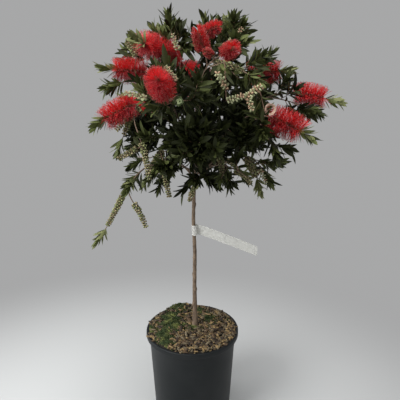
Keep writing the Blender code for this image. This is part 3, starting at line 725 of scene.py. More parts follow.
def link(name, mesh, finish, slot, nodes, smooth=None):
    """Puts a finished mesh in the scene as a piece of the object."""
    mesh.materials.clear()
    mesh.materials.append(finish)
    if smooth:
        mesh.shade_smooth()
        mesh.set_sharp_from_angle(angle=math.radians(smooth))
    item = bpy.data.objects.new(name, mesh)
    bpy.context.scene.collection.objects.link(item)
    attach(item, "root")
    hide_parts(*nodes)
    return item


class Bunch:
    """Copies of small shapes that are joined into one mesh."""

    def __init__(self, name, finish, slot, nodes, smooth=None):
        self.how = (finish, slot, nodes, smooth)
        self.name = name
        self.points = []
        self.faces = []
        self.total = 0

    def stamp(self, shape, matrix):
        points, faces = shape
        place = np.array(matrix)
        self.points.append(points @ place[:3, :3].T + place[:3, 3])
        self.faces.append(faces + self.total)
        self.total += len(points)

    def build(self):
        points = np.concatenate(self.points)
        faces = np.concatenate(self.faces)
        mesh = bpy.data.meshes.new(self.name)
        mesh.vertices.add(len(points))
        mesh.vertices.foreach_set("co", points.ravel().astype(np.float32))
        mesh.loops.add(faces.size)
        mesh.loops.foreach_set("vertex_index", faces.ravel().astype(np.int32))
        mesh.polygons.add(len(faces))
        mesh.polygons.foreach_set("loop_start", np.arange(0, faces.size, 3, dtype=np.int32))
        mesh.update(calc_edges=True)
        return link(self.name, mesh, *self.how)


def bunches_of(kind, finishes, slot, nodes, smooth=None):
    """An empty bunch for each finish, named after it."""
    return {
        name: Bunch(f"{kind}_{name}", finish, slot, nodes, smooth)
        for name, finish in finishes.items()
    }


def build_all(bunches):
    for bunch in bunches.values():
        bunch.build()


def stand(root, heading, face, scale=(1, 1, 1)):
    """The matrix that turns Z to heading and Y as near as may be to face, and moves to root."""
    across = face.cross(heading)
    if across.length < 1e-6:
        across = heading.orthogonal()
    across.normalize()
    turn = Matrix((across, heading.cross(across), heading)).transposed().to_4x4()
    return Matrix.Translation(root) @ turn @ Matrix.Diagonal((*scale, 1))


def tubes(name, paths, resolution):
    """One mesh of closed, tapering tubes, each given as its points and radii."""
    curve = bpy.data.curves.new(name, "CURVE")
    curve.dimensions = "3D"
    curve.bevel_depth = 1
    curve.bevel_resolution = resolution
    curve.use_fill_caps = True
    for points, radii in paths:
        spline = curve.splines.new("POLY")
        spline.points.add(len(points) - 1)
        for target, point, radius in zip(spline.points, points, radii):
            target.co = (*point, 1)
            target.radius = radius
    item = bpy.data.objects.new(name, curve)
    bpy.context.scene.collection.objects.link(item)
    bpy.context.view_layer.update()
    graph = bpy.context.evaluated_depsgraph_get()
    mesh = bpy.data.meshes.new_from_object(item.evaluated_get(graph))
    bpy.data.objects.remove(item)
    bm = bmesh.new()
    bm.from_mesh(mesh)
    bmesh.ops.remove_doubles(bm, verts=bm.verts, dist=1e-6)
    bmesh.ops.recalc_face_normals(bm, faces=bm.faces)
    bm.to_mesh(mesh)
    bm.free()
    return mesh


# The rule of growth, as in the solids

def polar(azimuth, reach, height):
    angle = math.radians(azimuth)
    return Vector((STEM_X + reach * math.cos(angle), reach * math.sin(angle), height))


def bezier(start, lead_out, lead_in, end, stations):
    points = []
    for k in range(stations + 1):
        t = k / stations
        a = (1 - t) ** 3
        b = 3 * t * (1 - t) ** 2
        c = 3 * t * t * (1 - t)
        points.append(a * start + b * lead_out + c * lead_in + t**3 * end)
    return points


def route(start, heading, end, arch, stations):
    """A limb's smooth path: it leaves along heading and comes to its end from above if it arches."""
    chord = end - start
    reach = chord.length
    lead_in = end - 0.35 * chord + arch * reach * UP
    return bezier(start, start + 0.33 * reach * heading, lead_in, end, stations)


def place_on(points, share):
    """The point and the direction at a share of a path's length."""
    lengths = [(b - a).length for a, b in zip(points, points[1:])]
    left = share * sum(lengths)
    for first, second, length in zip(points, points[1:], lengths):
        if left <= length or second is points[-1]:
            heading = (second - first).normalized()
            return first + min(left, length) * heading, heading
        left -= length


def turned(along, turn):
    """The direction square to along, turned about it."""
    side = along.orthogonal().normalized()
    side.rotate(Matrix.Rotation(turn, 3, along))
    return side


def path_length(points):
    return sum((b - a).length for a, b in zip(points, points[1:]))


def taper(first, last, count):
    return [first + (last - first) * k / (count - 1) for k in range(count)]


def stem_path():
    foot = POT_HEIGHT + MULCH_CROWN + CLEARANCE
    points = [Vector((STEM_X + drift, 0, foot + rise)) for rise, drift, _ in STEM_STATIONS]
    points[-1].z = STEM_TOP
    return points, [radius for _, _, radius in STEM_STATIONS]


def stem_at(height):
    points, radii = stem_path()
    for a, b, r_a, r_b in zip(points, points[1:], radii, radii[1:]):
        if height <= b.z:
            share = (height - a.z) / (b.z - a.z)
            return a.lerp(b, share), r_a + (r_b - r_a) * share
    return points[-1], radii[-1]


def bough_path(name, paths):
    """The bough's points and radii. Its foot stands on what it grows from."""
    parent, where, tip = BOUGHS[name]
    end = polar(*tip)
    if parent == "stem":
        root, parent_radius = stem_at(where)
        foot_radius = BOUGH_FOOT
        along = UP
    else:
        root, along = place_on(paths[parent][0], where)
        parent_radius = BOUGH_FOOT + (BOUGH_TIP - BOUGH_FOOT) * where
        foot_radius = BRANCH_FOOT
    stations = max(3, round((end - root).length / BOUGH_STATION))
    if parent == "stem" and where == STEM_TOP:
        points = route(root, UP, end, BOUGH_ARCH, stations)
        return points, taper(foot_radius, BOUGH_TIP, len(points))
    outwards = end - root
    outwards -= outwards.dot(along) * along
    outwards.normalize()
    heading = (outwards + BOUGH_RISE * along).normalized()
    points = route(root, heading, end, BOUGH_ARCH, stations)
    for _ in range(3):
        tilt = abs((points[1] - points[0]).normalized().dot(along))
        start = root + (parent_radius + foot_radius * tilt + CLEARANCE) * outwards
        points = route(start, heading, end, BOUGH_ARCH, stations)
    return points, taper(foot_radius, BOUGH_TIP, len(points))


def has_tuft(kind):
    return kind == "leaves" or BURDENS[kind][1] > 0


def burden_span(kind, length):
    """The shares of a shoot's length between which it bears its flower, capsules or bud."""
    if kind == "leaves":
        return None
    full_size, tail = BURDENS[kind]
    size = min(full_size, 0.62 * length)
    end = max(length - tail, size)
    return (end - size) / length, end / length


class Shoot:
    """A shoot or twig: its mass, its path, what it bears and how deep it branches."""

    def __init__(self, mass, kind, points, order):
        self.mass = mass
        self.density = DENSITY.get(mass, 1.0)
        self.kind = kind
        self.order = order
        self.tuft = has_tuft(kind)
        self.thickness = 1.0
        bearing = path_length(points)
        stem = TUFT_STEM if self.tuft and order == 0 else 0
        onward = (points[-1] - points[-2]).normalized()
        self.points = points + [points[-1] + stem * onward] if stem else points
        self.length = bearing + stem
        self.span = burden_span(kind, bearing)
        if self.span:
            self.span = tuple(share * bearing / self.length for share in self.span)


def steps_for(start, end):
    return max(3, round((end - start).length / SHOOT_STEP))


def plan_shoots(name, bough_points):
    """The mass's shoots: the leading one, then those that leave it."""
    start, heading = place_on(bough_points, 1.0)
    shoots = []
    for k, (kind, azimuth, reach, height, arch) in enumerate(SHOOTS[name]):
        outer = polar(azimuth, reach, height)
        if k:
            share = SHOOT_START + SHOOT_START_STEP * (k - 1)
            start, along = place_on(shoots[0].points, share)
            heading = (along + 1.5 * (outer - start).normalized()).normalized()
        tuft = TUFT_REACH if has_tuft(kind) else 0
        end = outer - tuft * (outer - start).normalized()
        path = route(start, heading, end, arch, steps_for(start, end))
        shoots.append(Shoot(name, kind, path, 0))
    return shoots


def side_twigs(rng, shoot, spacing, full_length, order):
    """Side twigs that turn out from a shoot in a spiral, and up at their tips."""
    last = shoot.span[0] if shoot.span else 0.80
    count = max(1, round(shoot.length * last / spacing))
    turn = rng.uniform(0, math.tau)
    for k in range(count):
        share = 0.22 + (last - 0.22) * (k + 0.4) / count
        turn += GOLDEN_ANGLE
        start, along = place_on(shoot.points, share)
        side = turned(along, turn)
        heading = (0.8 * along + side).normalized()
        reach = full_length * rng.uniform(0.75, 1.20)
        end = start + reach * (heading + rng.uniform(0.05, 0.30) * UP).normalized()
        path = route(start, heading, end, -0.05, steps_for(start, end))
        yield Shoot(shoot.mass, "leaves", path, order)


def bough_twigs(rng, name, points):
    """Fine leafy twigs up the outer part of a bough."""
    outer = Shoot(name, "leaves", points[len(points) // 3:], 0)
    return side_twigs(rng, outer, BOUGH_TWIG_SPACING, FINE_LENGTH, 2)


def hang_strings(shoots):
    """The shoots of the strings, each on a finer twig from the nearest shoot of its mass."""
    hung = []
    for kind, mass, thickness, first, last in STRINGS:
        start, end = polar(*first), polar(*last)
        near = [point for shoot in shoots if shoot.mass == mass for point in shoot.points[2:]]
        root = min(near, key=lambda point: (point - start).length)
        heading = (end - start).normalized()
        lead = route(root, (start - root).normalized(), start, -0.05, 4)
        path = lead[:-1] + route(start, heading, end, 0.04, 8)
        string = Shoot(mass, "leaves", path, 2)
        string.kind = kind
        string.tuft = False
        string.thickness = thickness
        string.span = (path_length(lead) / string.length, 1.0)
        hung.append(string)
    return hung


class Clearings:
    """The room that brushes, capsules and buds keep free of leaves and of other shoots' twigs.

    Full-size brushes keep old leaves off the side that faces the light too: outward and, on the
    front of the head, towards the viewer. Capsules there hang clear of what is before them.
    """

    def __init__(self, shoots):
        spots = []
        for shoot in shoots:
            if shoot.span:
                first, last = shoot.span
                for k in range(9):
                    spot, _ = place_on(shoot.points, first + (last - first) * k / 8)
                    viewer_side = Vector((0, -1, 0)) if spot.y < 0 else Vector()
                    outward = ((spot - HEAD_MIDDLE).normalized() + viewer_side).normalized()
                    reach = CLEARING[shoot.kind]
                    spots.append((spot, reach, shoot, False))
                    if reach > LARGE_CLEARING:
                        spots += [(spot + lift * outward, reach, shoot, True) for lift in OPEN_SIDE]
                    elif shoot.kind.endswith("capsules"):
                        spots += [(spot + lift * viewer_side, reach, shoot, False) for lift in OPEN_FRONT]
        self.rooms = [(reach, shoot, outer) for _, reach, shoot, outer in spots]
        self.tree = KDTree(len(spots))
        for number, (spot, *_) in enumerate(spots):
            self.tree.insert(spot, number)
        self.tree.balance()

    def holds(self, point, share=1.0, besides=None, young=False):
        """Whether a point lies in the kept room, or in a share of its width, besides one shoot's."""
        for _, number, distance in self.tree.find_range(point, share * max(CLEARING.values())):
            reach, shoot, outer = self.rooms[number]
            if distance < share * reach and shoot is not besides and not (young and outer):
                return True
        return False


def grow_head(boughs):
    """Every shoot and twig of the head, mass by mass. A twig stays in its own mass's space."""
    masses = [plan_shoots(name, boughs[name][0]) for name in SHOOTS]
    space = KDTree(SPACE_POINTS * sum(map(len, masses)))
    for number, shoots in enumerate(masses):
        for shoot in shoots:
            for k in range(SPACE_POINTS):
                space.insert(place_on(shoot.points, (k + 1) / SPACE_POINTS)[0], number)
    space.balance()
    strings = hang_strings([shoot for shoots in masses for shoot in shoots])
    clearings = Clearings([shoot for shoots in masses for shoot in shoots] + strings)

    def is_clear(twig):
        return not any(clearings.holds(point, 0.8) for point in twig.points[2:])

    def fits(twig, number):
        return space.find(twig.points[-1])[1] == number and is_clear(twig)

    for number, shoots in enumerate(masses):
        rng = random.Random(SEED * 1000 + number)
        sides = []
        for shoot in shoots:
            if shoot.mass not in NO_SIDE_TWIGS:
                sides += side_twigs(rng, shoot, SIDE_SPACING, SIDE_LENGTH, 1)
        sides = [twig for twig in sides if fits(twig, number)]
        fine = []
        for shoot in shoots + sides:
            if shoot.mass not in NO_FINE_TWIGS:
                fine += side_twigs(rng, shoot, FINE_SPACING / shoot.density, FINE_LENGTH, 2)
        fine = [twig for twig in fine if fits(twig, number)]
        mass = shoots[0].mass
        if mass in LEAFY_BOUGHS:
            fine += filter(is_clear, bough_twigs(rng, mass, boughs[mass][0]))
        shoots += sides + fine
    return [shoot for shoots in masses for shoot in shoots] + strings, clearings


# Stem, boughs and twigs

def roughen(mesh, depth, grain):
    """Moves a tube's points along their normals by a noise that runs up it, as bark does."""
    for vertex in mesh.vertices:
        spot = Vector((vertex.co.x, vertex.co.y, vertex.co.z * 0.28)) * grain
        ridges = 1 - abs(noise.noise(spot)) * 2
        lumps = noise.noise(vertex.co * grain * 0.35)
        vertex.co += vertex.normal * depth * (0.55 * ridges + 0.45 * lumps - 0.3)


def knot_swell(point, height, azimuth):
    """How far a pruned side shoot's scar swells the stem at a point."""
    angle = math.radians(azimuth)
    axis, stem_radius = stem_at(height)
    scar = axis + stem_radius * Vector((math.cos(angle), math.sin(angle), 0))
    return max(0.0, 1 - ((point - scar).length / KNOT_RADIUS) ** 2)


def make_stem(finish):
    points, radii = stem_path()
    fine_points = []
    fine_radii = []
    count = round((STEM_TOP - points[0].z) / STEM_STEP)
    for k in range(count + 1):
        axis, radius = stem_at(points[0].z + (STEM_TOP - points[0].z) * k / count)
        fine_points.append(axis)
        fine_radii.append(radius)
    mesh = tubes("stem_bark", [(fine_points, fine_radii)], 8)
    roughen(mesh, *STEM_RELIEF)
    for vertex in mesh.vertices:
        swell = sum(knot_swell(vertex.co, height, azimuth) for height, azimuth in STEM_KNOTS)
        vertex.co += vertex.normal * KNOT_SWELL * swell
    return link("stem_bark", mesh, finish, "bark", ["stem"], smooth=50)


def make_boughs(boughs, finish):
    paths = []
    for points, radii in boughs.values():
        shares = [k / 40 for k in range(41)]
        fine = [place_on(points, share)[0] for share in shares]
        foot, tip = radii[0], radii[-1]
        collar = [foot * 0.35 * max(0, 1 - share / 0.10) for share in shares]
        paths.append((fine, [foot + (tip - foot) * s + c for s, c in zip(shares, collar)]))
    mesh = tubes("bough_bark", paths, 3)
    roughen(mesh, *BOUGH_RELIEF)
    nodes = [f"bough_{name}" for name in BOUGHS]
    return link("bough_bark", mesh, finish, "bark", nodes, smooth=50)


def make_twigs(shoots, wood, young):
    """Twigs: woody shoots apart from young side twigs, which are redder."""
    feet = (SHOOT_FOOT, SIDE_FOOT, SIDE_FOOT * 0.8)
    tips = (SHOOT_TIP, SIDE_TIP, SIDE_TIP * 0.8)
    groups = {"twigs_woody": [], "twigs_young": []}
    for shoot in shoots:
        radii = taper(feet[shoot.order], tips[shoot.order], len(shoot.points))
        groups["twigs_young" if shoot.order else "twigs_woody"].append((shoot.points, radii))
    for name, finish in (("twigs_woody", wood), ("twigs_young", young)):
        mesh = tubes(name, groups[name], 1)
        link(name, mesh, finish, "foliage", MASS_NODES, smooth=60)


# Leaves

def leaf_shape(curl, skew):
    """A lance-shaped leaf, one unit long up Z: folded at its midrib, and bent back by curl."""
    bm = cone(4, 1, 1, 1, 0, capped=False)
    cut_across(bm, LEAF_BANDS - 1)
    for vertex in bm.verts:
        share = vertex.co.z + 0.5
        outline = math.sin(math.pi * share**0.95) ** 0.66 if 0.001 < share < 0.999 else 0
        at_edge = abs(vertex.co.x) > 0.5
        x = vertex.co.x * LEAF_WIDTH / 2 * outline
        y = LEAF_FOLD * outline if at_edge else math.copysign(LEAF_THICKNESS / 2, vertex.co.y) * outline
        vertex.co = (x / LEAF_LENGTH + skew * share**2, y / LEAF_LENGTH - curl * share**2, share)
    bmesh.ops.remove_doubles(bm, verts=bm.verts, dist=1e-5)
    bmesh.ops.recalc_face_normals(bm, faces=bm.faces)
    return fold_up(bm)


def leaf_places(rng, shoot):
    """Leaves in a spiral up a shoot, clear of what it bears, as (share, turn, slant, length, young)."""
    bare = BARE_SHARE if shoot.order else SHOOT_BARE_SHARE
    count = int(shoot.length * (1 - bare) / LEAF_SPACING * shoot.density)
    turn = rng.uniform(0, math.tau)
    for k in range(count):
        share = bare + (1 - bare) * (k + 0.5) / count
        turn += GOLDEN_ANGLE
        if shoot.span and shoot.span[0] - 0.02 < share:
            continue
        slant = LEAF_SLANT * (1.1 - 0.35 * share)
        yield share, turn, slant, LEAF_LENGTH * rng.uniform(0.75, 1.15), False
    if not shoot.tuft:
        return
    leaves = TUFT_LEAVES if shoot.order == 0 else TUFT_LEAVES // 2
    for k in range(leaves):
        inner = k / leaves
        turn += GOLDEN_ANGLE
        share = 1 - TUFT_DEPTH * (1 - inner) / shoot.length
        slant = math.radians(42 - 34 * inner)
        yield share, turn, slant, LEAF_LENGTH * (0.90 - 0.10 * inner) * rng.uniform(0.84, 1.08), True


def spray_tone(rng, shoot, young):
    """The green of most of a spray's leaves: painted light makes it paler towards the top and the outside,
    and painted shade makes it darker in the middle and low down; young tips are paler too.
    """
    tip = shoot.points[-1]
    out = (tip - HEAD_MIDDLE).length / 0.25
    fresh = YOUNG_FRESH[shoot.order] + (BURDEN_FRESH if shoot.span else 0) if young else 0
    fresh += PALER_MASSES.get(shoot.mass, 0)
    # Painted light and shade: higher and further out gives a paler green, lower and further in a darker
    # one; young leaves and some masses are made paler on top of that
    light = 0.45 * out + 1.0 * (tip.z - HEAD_MIDDLE.z) + fresh + rng.uniform(-0.20, 0.20)
    return min(len(GREENS) - 1, max(0, int(light * TONES_PER_LIGHT)))


def make_leaves(shoots, clearings):
    rng = random.Random(SEED + 40)
    shapes = [leaf_shape(curl, skew) for curl in LEAF_CURLS for skew in LEAF_SKEWS]
    bunches = [
        Bunch(f"leaves_{name}", leaf_finish(f"leaf_{name}", colour), "foliage", MASS_NODES, 50)
        for name, colour in GREENS
    ]
    for shoot in shoots:
        tones = {young: spray_tone(rng, shoot, young) for young in (False, True)}
        for share, turn, slant, length, young in leaf_places(rng, shoot):
            root, along = place_on(shoot.points, share)
            side = turned(along, turn)
            lean = slant * rng.uniform(0.8, 1.2)
            heading = math.cos(lean) * along + math.sin(lean) * side
            heading = (heading + rng.uniform(-0.22, 0.12) * UP).normalized()
            room = (YOUNG_CLEARING, shoot, True) if young else (1.0, None, False)
            if any(clearings.holds(root + part * length * heading, *room) for part in (0.4, 0.7, 1)):
                continue
            face = (along + rng.uniform(-0.3, 0.3) * side.cross(along)).normalized()
            width = length * rng.uniform(0.85, 1.15)
            place = stand(root, heading, face, (width, length, length))
            tone = tones[young] + rng.choice(TONE_STEPS)
            bunches[min(len(GREENS) - 1, max(0, tone))].stamp(rng.choice(shapes), place)
    for bunch in bunches:
        bunch.build()


# Brushes

def stamen_shape():
    """A fine thread, one unit long up Z, that bends a little at its middle."""
    bm = cone(3, 1, 0.62, 1, 0.5)
    cut_across(bm, 1)
    return fold_up(bm)


def bent(shape, amount):
    """The stamen with its middle pushed along +Y."""
    points, faces = shape
    points = points.copy()
    points[:, 1] += amount * (0.25 - (points[:, 2] - 0.5) ** 2) * 4
    return points, faces


def make_brushes(shoots, finishes):
    """Flowers stand in a spiral round each brush, and each fans out a bunch of long stamens.

    A brush that ends its shoot is closed by a round top, and any other stays a cylinder.
    """
    rng = random.Random(SEED + 50)
    thread = stamen_shape()
    anther = fold_up(cone(3, 1.2, 0, 2, 0))
    calyx = fold_up(cone(5, 0.5, 1, 1, 0.5))
    groups = {
        name: Bunch(f"brush_{name}", finish, "blossom", MASS_NODES, smooth)
        for name, (finish, smooth) in finishes.items()
    }
    for shoot in shoots:
        if not shoot.kind.endswith("brush"):
            continue
        first, last = shoot.span
        turn = rng.uniform(0, math.tau)
        full = min(1, (last - first) * shoot.length / BRUSH_LENGTH)
        full_reach = BRUSH_REACH * BRUSH_SWELL.get(shoot.mass, 1) * (0.10 + 0.90 * full)
        closed = not shoot.tuft
        flowers = round(FLOWERS * (0.25 + 0.75 * full))
        for k in range(flowers):
            share = (k + 0.5) / flowers
            turn += GOLDEN_ANGLE
            root, along = place_on(shoot.points, first + (last - first) * (0.03 + 0.97 * share))
            side = turned(along, turn)
            lift = rng.uniform(-6, 6) + (4 + 26 * share if closed else 14 * share - 4)
            lift = math.radians(lift + (45 * max(0, share - 0.9) / 0.1 if closed else 0))
            axis = math.cos(lift) * side + math.sin(lift) * along
            groups["calyces"].stamp(calyx, stand(root, axis, along, CALYX))
            # Painted shade: flowers that face down mostly take the darker crimson copy of the red, and
            # those that face up the scarlet one
            shade = "scarlet" if rng.random() < 0.50 + 0.60 * side.z else "shaded_crimson"
            for _ in range(FLOWER_STAMENS):
                spread = Vector([rng.gauss(0, FLOWER_SPREAD) for _ in range(3)])
                heading = (axis + spread).normalized()
                swell = full_reach * (0.88 + 0.12 * math.sin(math.pi * share))
                length = swell * rng.uniform(0.82, 1.02)
                bend = length * rng.uniform(0.02, 0.10)
                place = stand(root, heading, -along, (STAMEN_FOOT, STAMEN_FOOT, length))
                groups[shade].stamp(bent(thread, bend / STAMEN_FOOT), place)
                tip = stand(root + length * heading, heading, along, (ANTHER, ANTHER, ANTHER * 1.5))
                groups["anthers"].stamp(anther, tip)
    build_all(groups)


# Seed capsules and buds

def capsule_shape():
    """A squat woody cup, one unit in radius, with a dimpled mouth at its top."""
    bm = bmesh.new()
    bmesh.ops.create_uvsphere(bm, u_segments=8, v_segments=6, radius=1)
    for vertex in bm.verts:
        if vertex.co.z > 0.8:
            vertex.co.z = 0.28
        elif vertex.co.z > 0.4:
            vertex.co.z = 0.78
            vertex.co.x *= 0.9
            vertex.co.y *= 0.9
    return fold_up(bm)


def bead_shape():
    """A small bud, one unit in radius and rather longer."""
    bm = bmesh.new()
    bmesh.ops.create_uvsphere(bm, u_segments=6, v_segments=4, radius=1)
    bmesh.ops.scale(bm, vec=(1, 1, 1.5), verts=bm.verts)
    return fold_up(bm)


def string_places(shoot, rng, size, ring_step, whorl, stand_off):
    """Where capsules or buds sit round a shoot's span: in rings, each turned against the last."""
    first, last = shoot.span
    size = size * shoot.thickness
    rings = max(2, round((last - first) * shoot.length / ring_step))
    for k in range(rings * whorl):
        ring, place = divmod(k, whorl)
        turn = math.tau * (place + 0.5 * (ring % 2)) / whorl + rng.uniform(-0.2, 0.2)
        share = (ring + 0.5 + rng.uniform(-0.12, 0.12)) / rings
        root, along = place_on(shoot.points, first + (last - first) * share)
        side = turned(along, turn)
        heading = (side + 0.25 * along).normalized()
        grown = size * rng.uniform(0.78, 1.15) * (1.1 - 0.35 * share)
        middle = root + (SHOOT_TIP + grown * stand_off) * heading
        yield stand(middle, heading, along, (grown, grown, grown * 1.25))


def make_capsules(shoots, finishes):
    """Woody seed capsules with dark mouths, and paler strings of young buds."""
    rng = random.Random(SEED + 60)
    capsule = capsule_shape()
    mouth = fold_up(cone(8, 0.62, 0.30, 0.20, 0.74))
    bead = bead_shape()
    bunches = bunches_of("capsules", finishes, "capsules", MASS_NODES, 50)
    for shoot in shoots:
        if shoot.kind.endswith("capsules"):
            for place in string_places(shoot, rng, CAPSULE_RADIUS, CAPSULE_STEP, 6, 1.35):
                bunches[rng.choice(("tan", "green"))].stamp(capsule, place)
                bunches["mouths"].stamp(mouth, place)
        if shoot.kind == "young_buds":
            for place in string_places(shoot, rng, YOUNG_BUD, YOUNG_BUD_STEP, 4, 1.6):
                bunches[rng.choice(("cream", "cream", "peach"))].stamp(bead, place)
    build_all(bunches)


def make_withered(shoots, finish):
    """A dried bract, curled up into a loop at the end of its twig."""
    for shoot in shoots:
        if shoot.kind != "withered":
            continue
        bm = bmesh.new()
        bmesh.ops.create_grid(bm, x_segments=16, y_segments=4, size=0.5)
        for vertex in bm.verts:
            share = vertex.co.x + 0.5
            angle = math.radians(-100 + 325 * share)
            width = WITHERED_WIDTH * (0.35 + 0.65 * math.sin(math.pi * share**0.8))
            cup = 1 + 0.5 * (2 * vertex.co.y) ** 2
            radius = WITHERED_RADIUS * (1.15 - 0.35 * share) * cup
            vertex.co = (radius * math.cos(angle), width * vertex.co.y, radius * math.sin(angle))
        bmesh.ops.solidify(bm, geom=list(bm.faces), thickness=LEAF_THICKNESS)
        bmesh.ops.recalc_face_normals(bm, faces=bm.faces)
        bmesh.ops.translate(bm, vec=shoot.points[-1], verts=bm.verts)
        mesh = to_mesh(bm, "withered_bract")
        link("withered_bract", mesh, finish, "capsules", [f"foliage_{shoot.mass}"], smooth=60)


def make_buds(shoots, finish):
    """The flower bud that is still shut: a fat cone of scales."""
    rng = random.Random(SEED + 70)
    bunch = Bunch("buds_green", finish, "foliage", MASS_NODES, 50)
    scale = leaf_shape(-0.35, 0)
    for shoot in shoots:
        if shoot.kind != "bud":
            continue
        turn = 0
        for k in range(BUD_SCALES):
            turn += GOLDEN_ANGLE
            share = shoot.span[0] + (shoot.span[1] - shoot.span[0]) * (k / BUD_SCALES) * 0.75
            root, along = place_on(shoot.points, share)
            side = turned(along, turn)
            lean = math.radians(50 - 40 * k / BUD_SCALES)
            heading = math.cos(lean) * along + math.sin(lean) * side
            length = BUD_SCALE * rng.uniform(0.85, 1.1)
            bunch.stamp(scale, stand(root, heading, -side, (length * 1.9, length, length)))
    bunch.build()


# Pot, mulch, moss and label

def spun(profile, steps):
    """A profile in the XZ plane turned about Z into a closed shell."""
    bm = bmesh.new()
    points = [bm.verts.new((radius, 0, height)) for radius, height in profile]
    edges = [bm.edges.new(pair) for pair in zip(points, points[1:])]
    bmesh.ops.spin(
        bm, geom=points + edges, axis=UP, cent=(0, 0, 0), steps=steps, angle=math.tau, use_merge=True
    )
    bmesh.ops.remove_doubles(bm, verts=bm.verts, dist=1e-5)
    bmesh.ops.recalc_face_normals(bm, faces=bm.faces)
    return bm


def wall_radius(height):
    """Outer radius of the pot's wall."""
    share = height / (POT_HEIGHT - LIP_HEIGHT)
    return FOOT_RADIUS + (SHOULDER_RADIUS - FOOT_RADIUS) * share


def arc(middle_x, middle_z, radius, first, last, steps):
    """Points of a rounded corner in the profile's plane, angles in degrees from +X."""
    points = []
    for k in range(steps + 1):
        angle = math.radians(first + (last - first) * k / steps)
        points.append((middle_x + radius * math.cos(angle), middle_z + radius * math.sin(angle)))
    return points


def make_pot(finish):
    """The pot's shell with its rolled lip, a step under it, a rounded foot and drain holes."""
    under_lip = POT_HEIGHT - LIP_HEIGHT
    lip = LIP_ROUND * 0.96
    inner_top = RIM_RADIUS - 2 * LIP_ROUND - WALL
    profile = [(0, FLOOR), (wall_radius(FLOOR) - WALL, FLOOR)]
    profile += [(wall_radius(under_lip) - WALL, under_lip)]
    profile += arc(inner_top + lip, POT_HEIGHT - lip, lip, 180, 90, 5)
    profile += arc(RIM_RADIUS - lip, POT_HEIGHT - lip, lip, 90, 0, 5)
    profile += arc(RIM_RADIUS - lip / 2, under_lip + lip / 2, lip / 2, 0, -90, 4)
    profile += arc(wall_radius(under_lip) + lip, under_lip - lip, lip, 90, 180, 4)
    profile += [(wall_radius(h), h) for h in (0.2005, 0.2, 0.15, 0.10, 0.05)]
    profile += arc(FOOT_RADIUS - FOOT_ROUND, FOOT_ROUND, FOOT_ROUND, 0, -90, 5)
    profile += [(FOOT_RADIUS - 0.012, 0), (FOOT_RADIUS - 0.016, 0.0015), (0, 0.0015)]
    mesh = to_mesh(spun(profile, POT_STEPS), "pot_shell")
    pot = link("pot_shell", mesh, finish, "pot_plastic", ["pot"])
    for k in range(DRAIN_COUNT):
        angle = math.tau * (k + 0.5) / DRAIN_COUNT
        plug = cone(32, DRAIN_RADIUS, DRAIN_RADIUS, 4 * FLOOR, 0)
        place = (DRAIN_RING * math.cos(angle), DRAIN_RING * math.sin(angle), 0)
        bmesh.ops.translate(plug, vec=place, verts=plug.verts)
        cutter = bpy.data.objects.new("drain_cutter", to_mesh(plug, "drain_cutter"))
        bpy.context.scene.collection.objects.link(cutter)
        cut = pot.modifiers.new("drain", "BOOLEAN")
        cut.object = cutter
        cut.operation = "DIFFERENCE"
        bpy.context.view_layer.update()
        graph = bpy.context.evaluated_depsgraph_get()
        whole = bpy.data.meshes.new_from_object(pot.evaluated_get(graph))
        pot.modifiers.remove(cut)
        pot.data = whole
        bpy.data.objects.remove(cutter)
    pot.data.name = "pot_shell"
    pot.data.shade_smooth()
    pot.data.set_sharp_from_angle(angle=math.radians(35))
    return pot


def mounds_from(x, y):
    """How far away each moss mound is, with its radius and its height."""
    for azimuth, distance, radius, height in MOSS_MOUNDS:
        angle = math.radians(azimuth)
        away = math.hypot(x - distance * math.cos(angle), y - distance * math.sin(angle))
        yield away, radius, height


def mulch_height(x, y):
    """Height of the mulch's surface, with its moss mounds and some unevenness."""
    from_middle = min(1, math.hypot(x, y) / RIM_RADIUS)
    lift = MULCH_CROWN * (1 - from_middle**2)
    for away, radius, height in mounds_from(x, y):
        lift += height * max(0.0, 1 - (away / radius) ** 2)
    lift += (0.0016 + 0.25 * lift) * noise.noise(Vector((x, y, 0)) * 90)
    return POT_HEIGHT - 0.002 + lift


def mossiness(x, y):
    """How far moss has grown over the chips at a place, from 0 to 1."""
    cover = 0.55 * noise.noise(Vector((x, y, 0.3)) * 26)
    for away, radius, _ in mounds_from(x, y):
        cover = max(cover, 1.15 * (1 - away / (1.45 * radius)) + 0.3 * cover)
    return cover


def random_spot(rng, radius, spill=0):
    """A place on the mulch within a radius, or rather past it where chips spill over the rim."""
    reach = radius * math.sqrt(rng.random())
    angle = rng.uniform(0, math.tau)
    reach *= 1 + spill * max(0, math.cos(angle - SPILL_AZIMUTH)) ** 12
    return reach * math.cos(angle), reach * math.sin(angle)


def chip_shape(rng):
    """A splinter of bark: a block, longer than wide, with uneven, chamfered corners."""
    bm = bmesh.new()
    bmesh.ops.create_cube(bm, size=2)
    long_edges = [e for e in bm.edges if abs(e.verts[0].co.x - e.verts[1].co.x) > 1]
    bmesh.ops.subdivide_edges(bm, edges=long_edges, cuts=2)
    for vertex in bm.verts:
        squeeze = 1 - 0.35 * abs(vertex.co.x)
        vertex.co.y *= squeeze * rng.uniform(0.6, 1.15)
        vertex.co.z *= squeeze * rng.uniform(0.5, 1.2)
        vertex.co.x += rng.uniform(-0.16, 0.16)
        vertex.co.z += 0.25 * math.sin(2.2 * vertex.co.x)
    return fold_up(bm)


def moss_shape():
    """A sprig of moss: three fine spikes from one foot."""
    bm = bmesh.new()
    for k in range(3):
        spike = bmesh.ops.create_cone(bm, segments=3, radius1=0.30, radius2=0, depth=1)["verts"]
        bmesh.ops.translate(bm, vec=(0, 0, 0.5), verts=spike)
        lean = Matrix.Rotation(math.radians(34), 3, "X")
        bmesh.ops.rotate(bm, matrix=lean, cent=(0, 0, 0), verts=spike)
        turn = Matrix.Rotation(math.tau * k / 3, 3, "Z")
        bmesh.ops.rotate(bm, matrix=turn, cent=(0, 0, 0), verts=spike)
    return fold_up(bm)


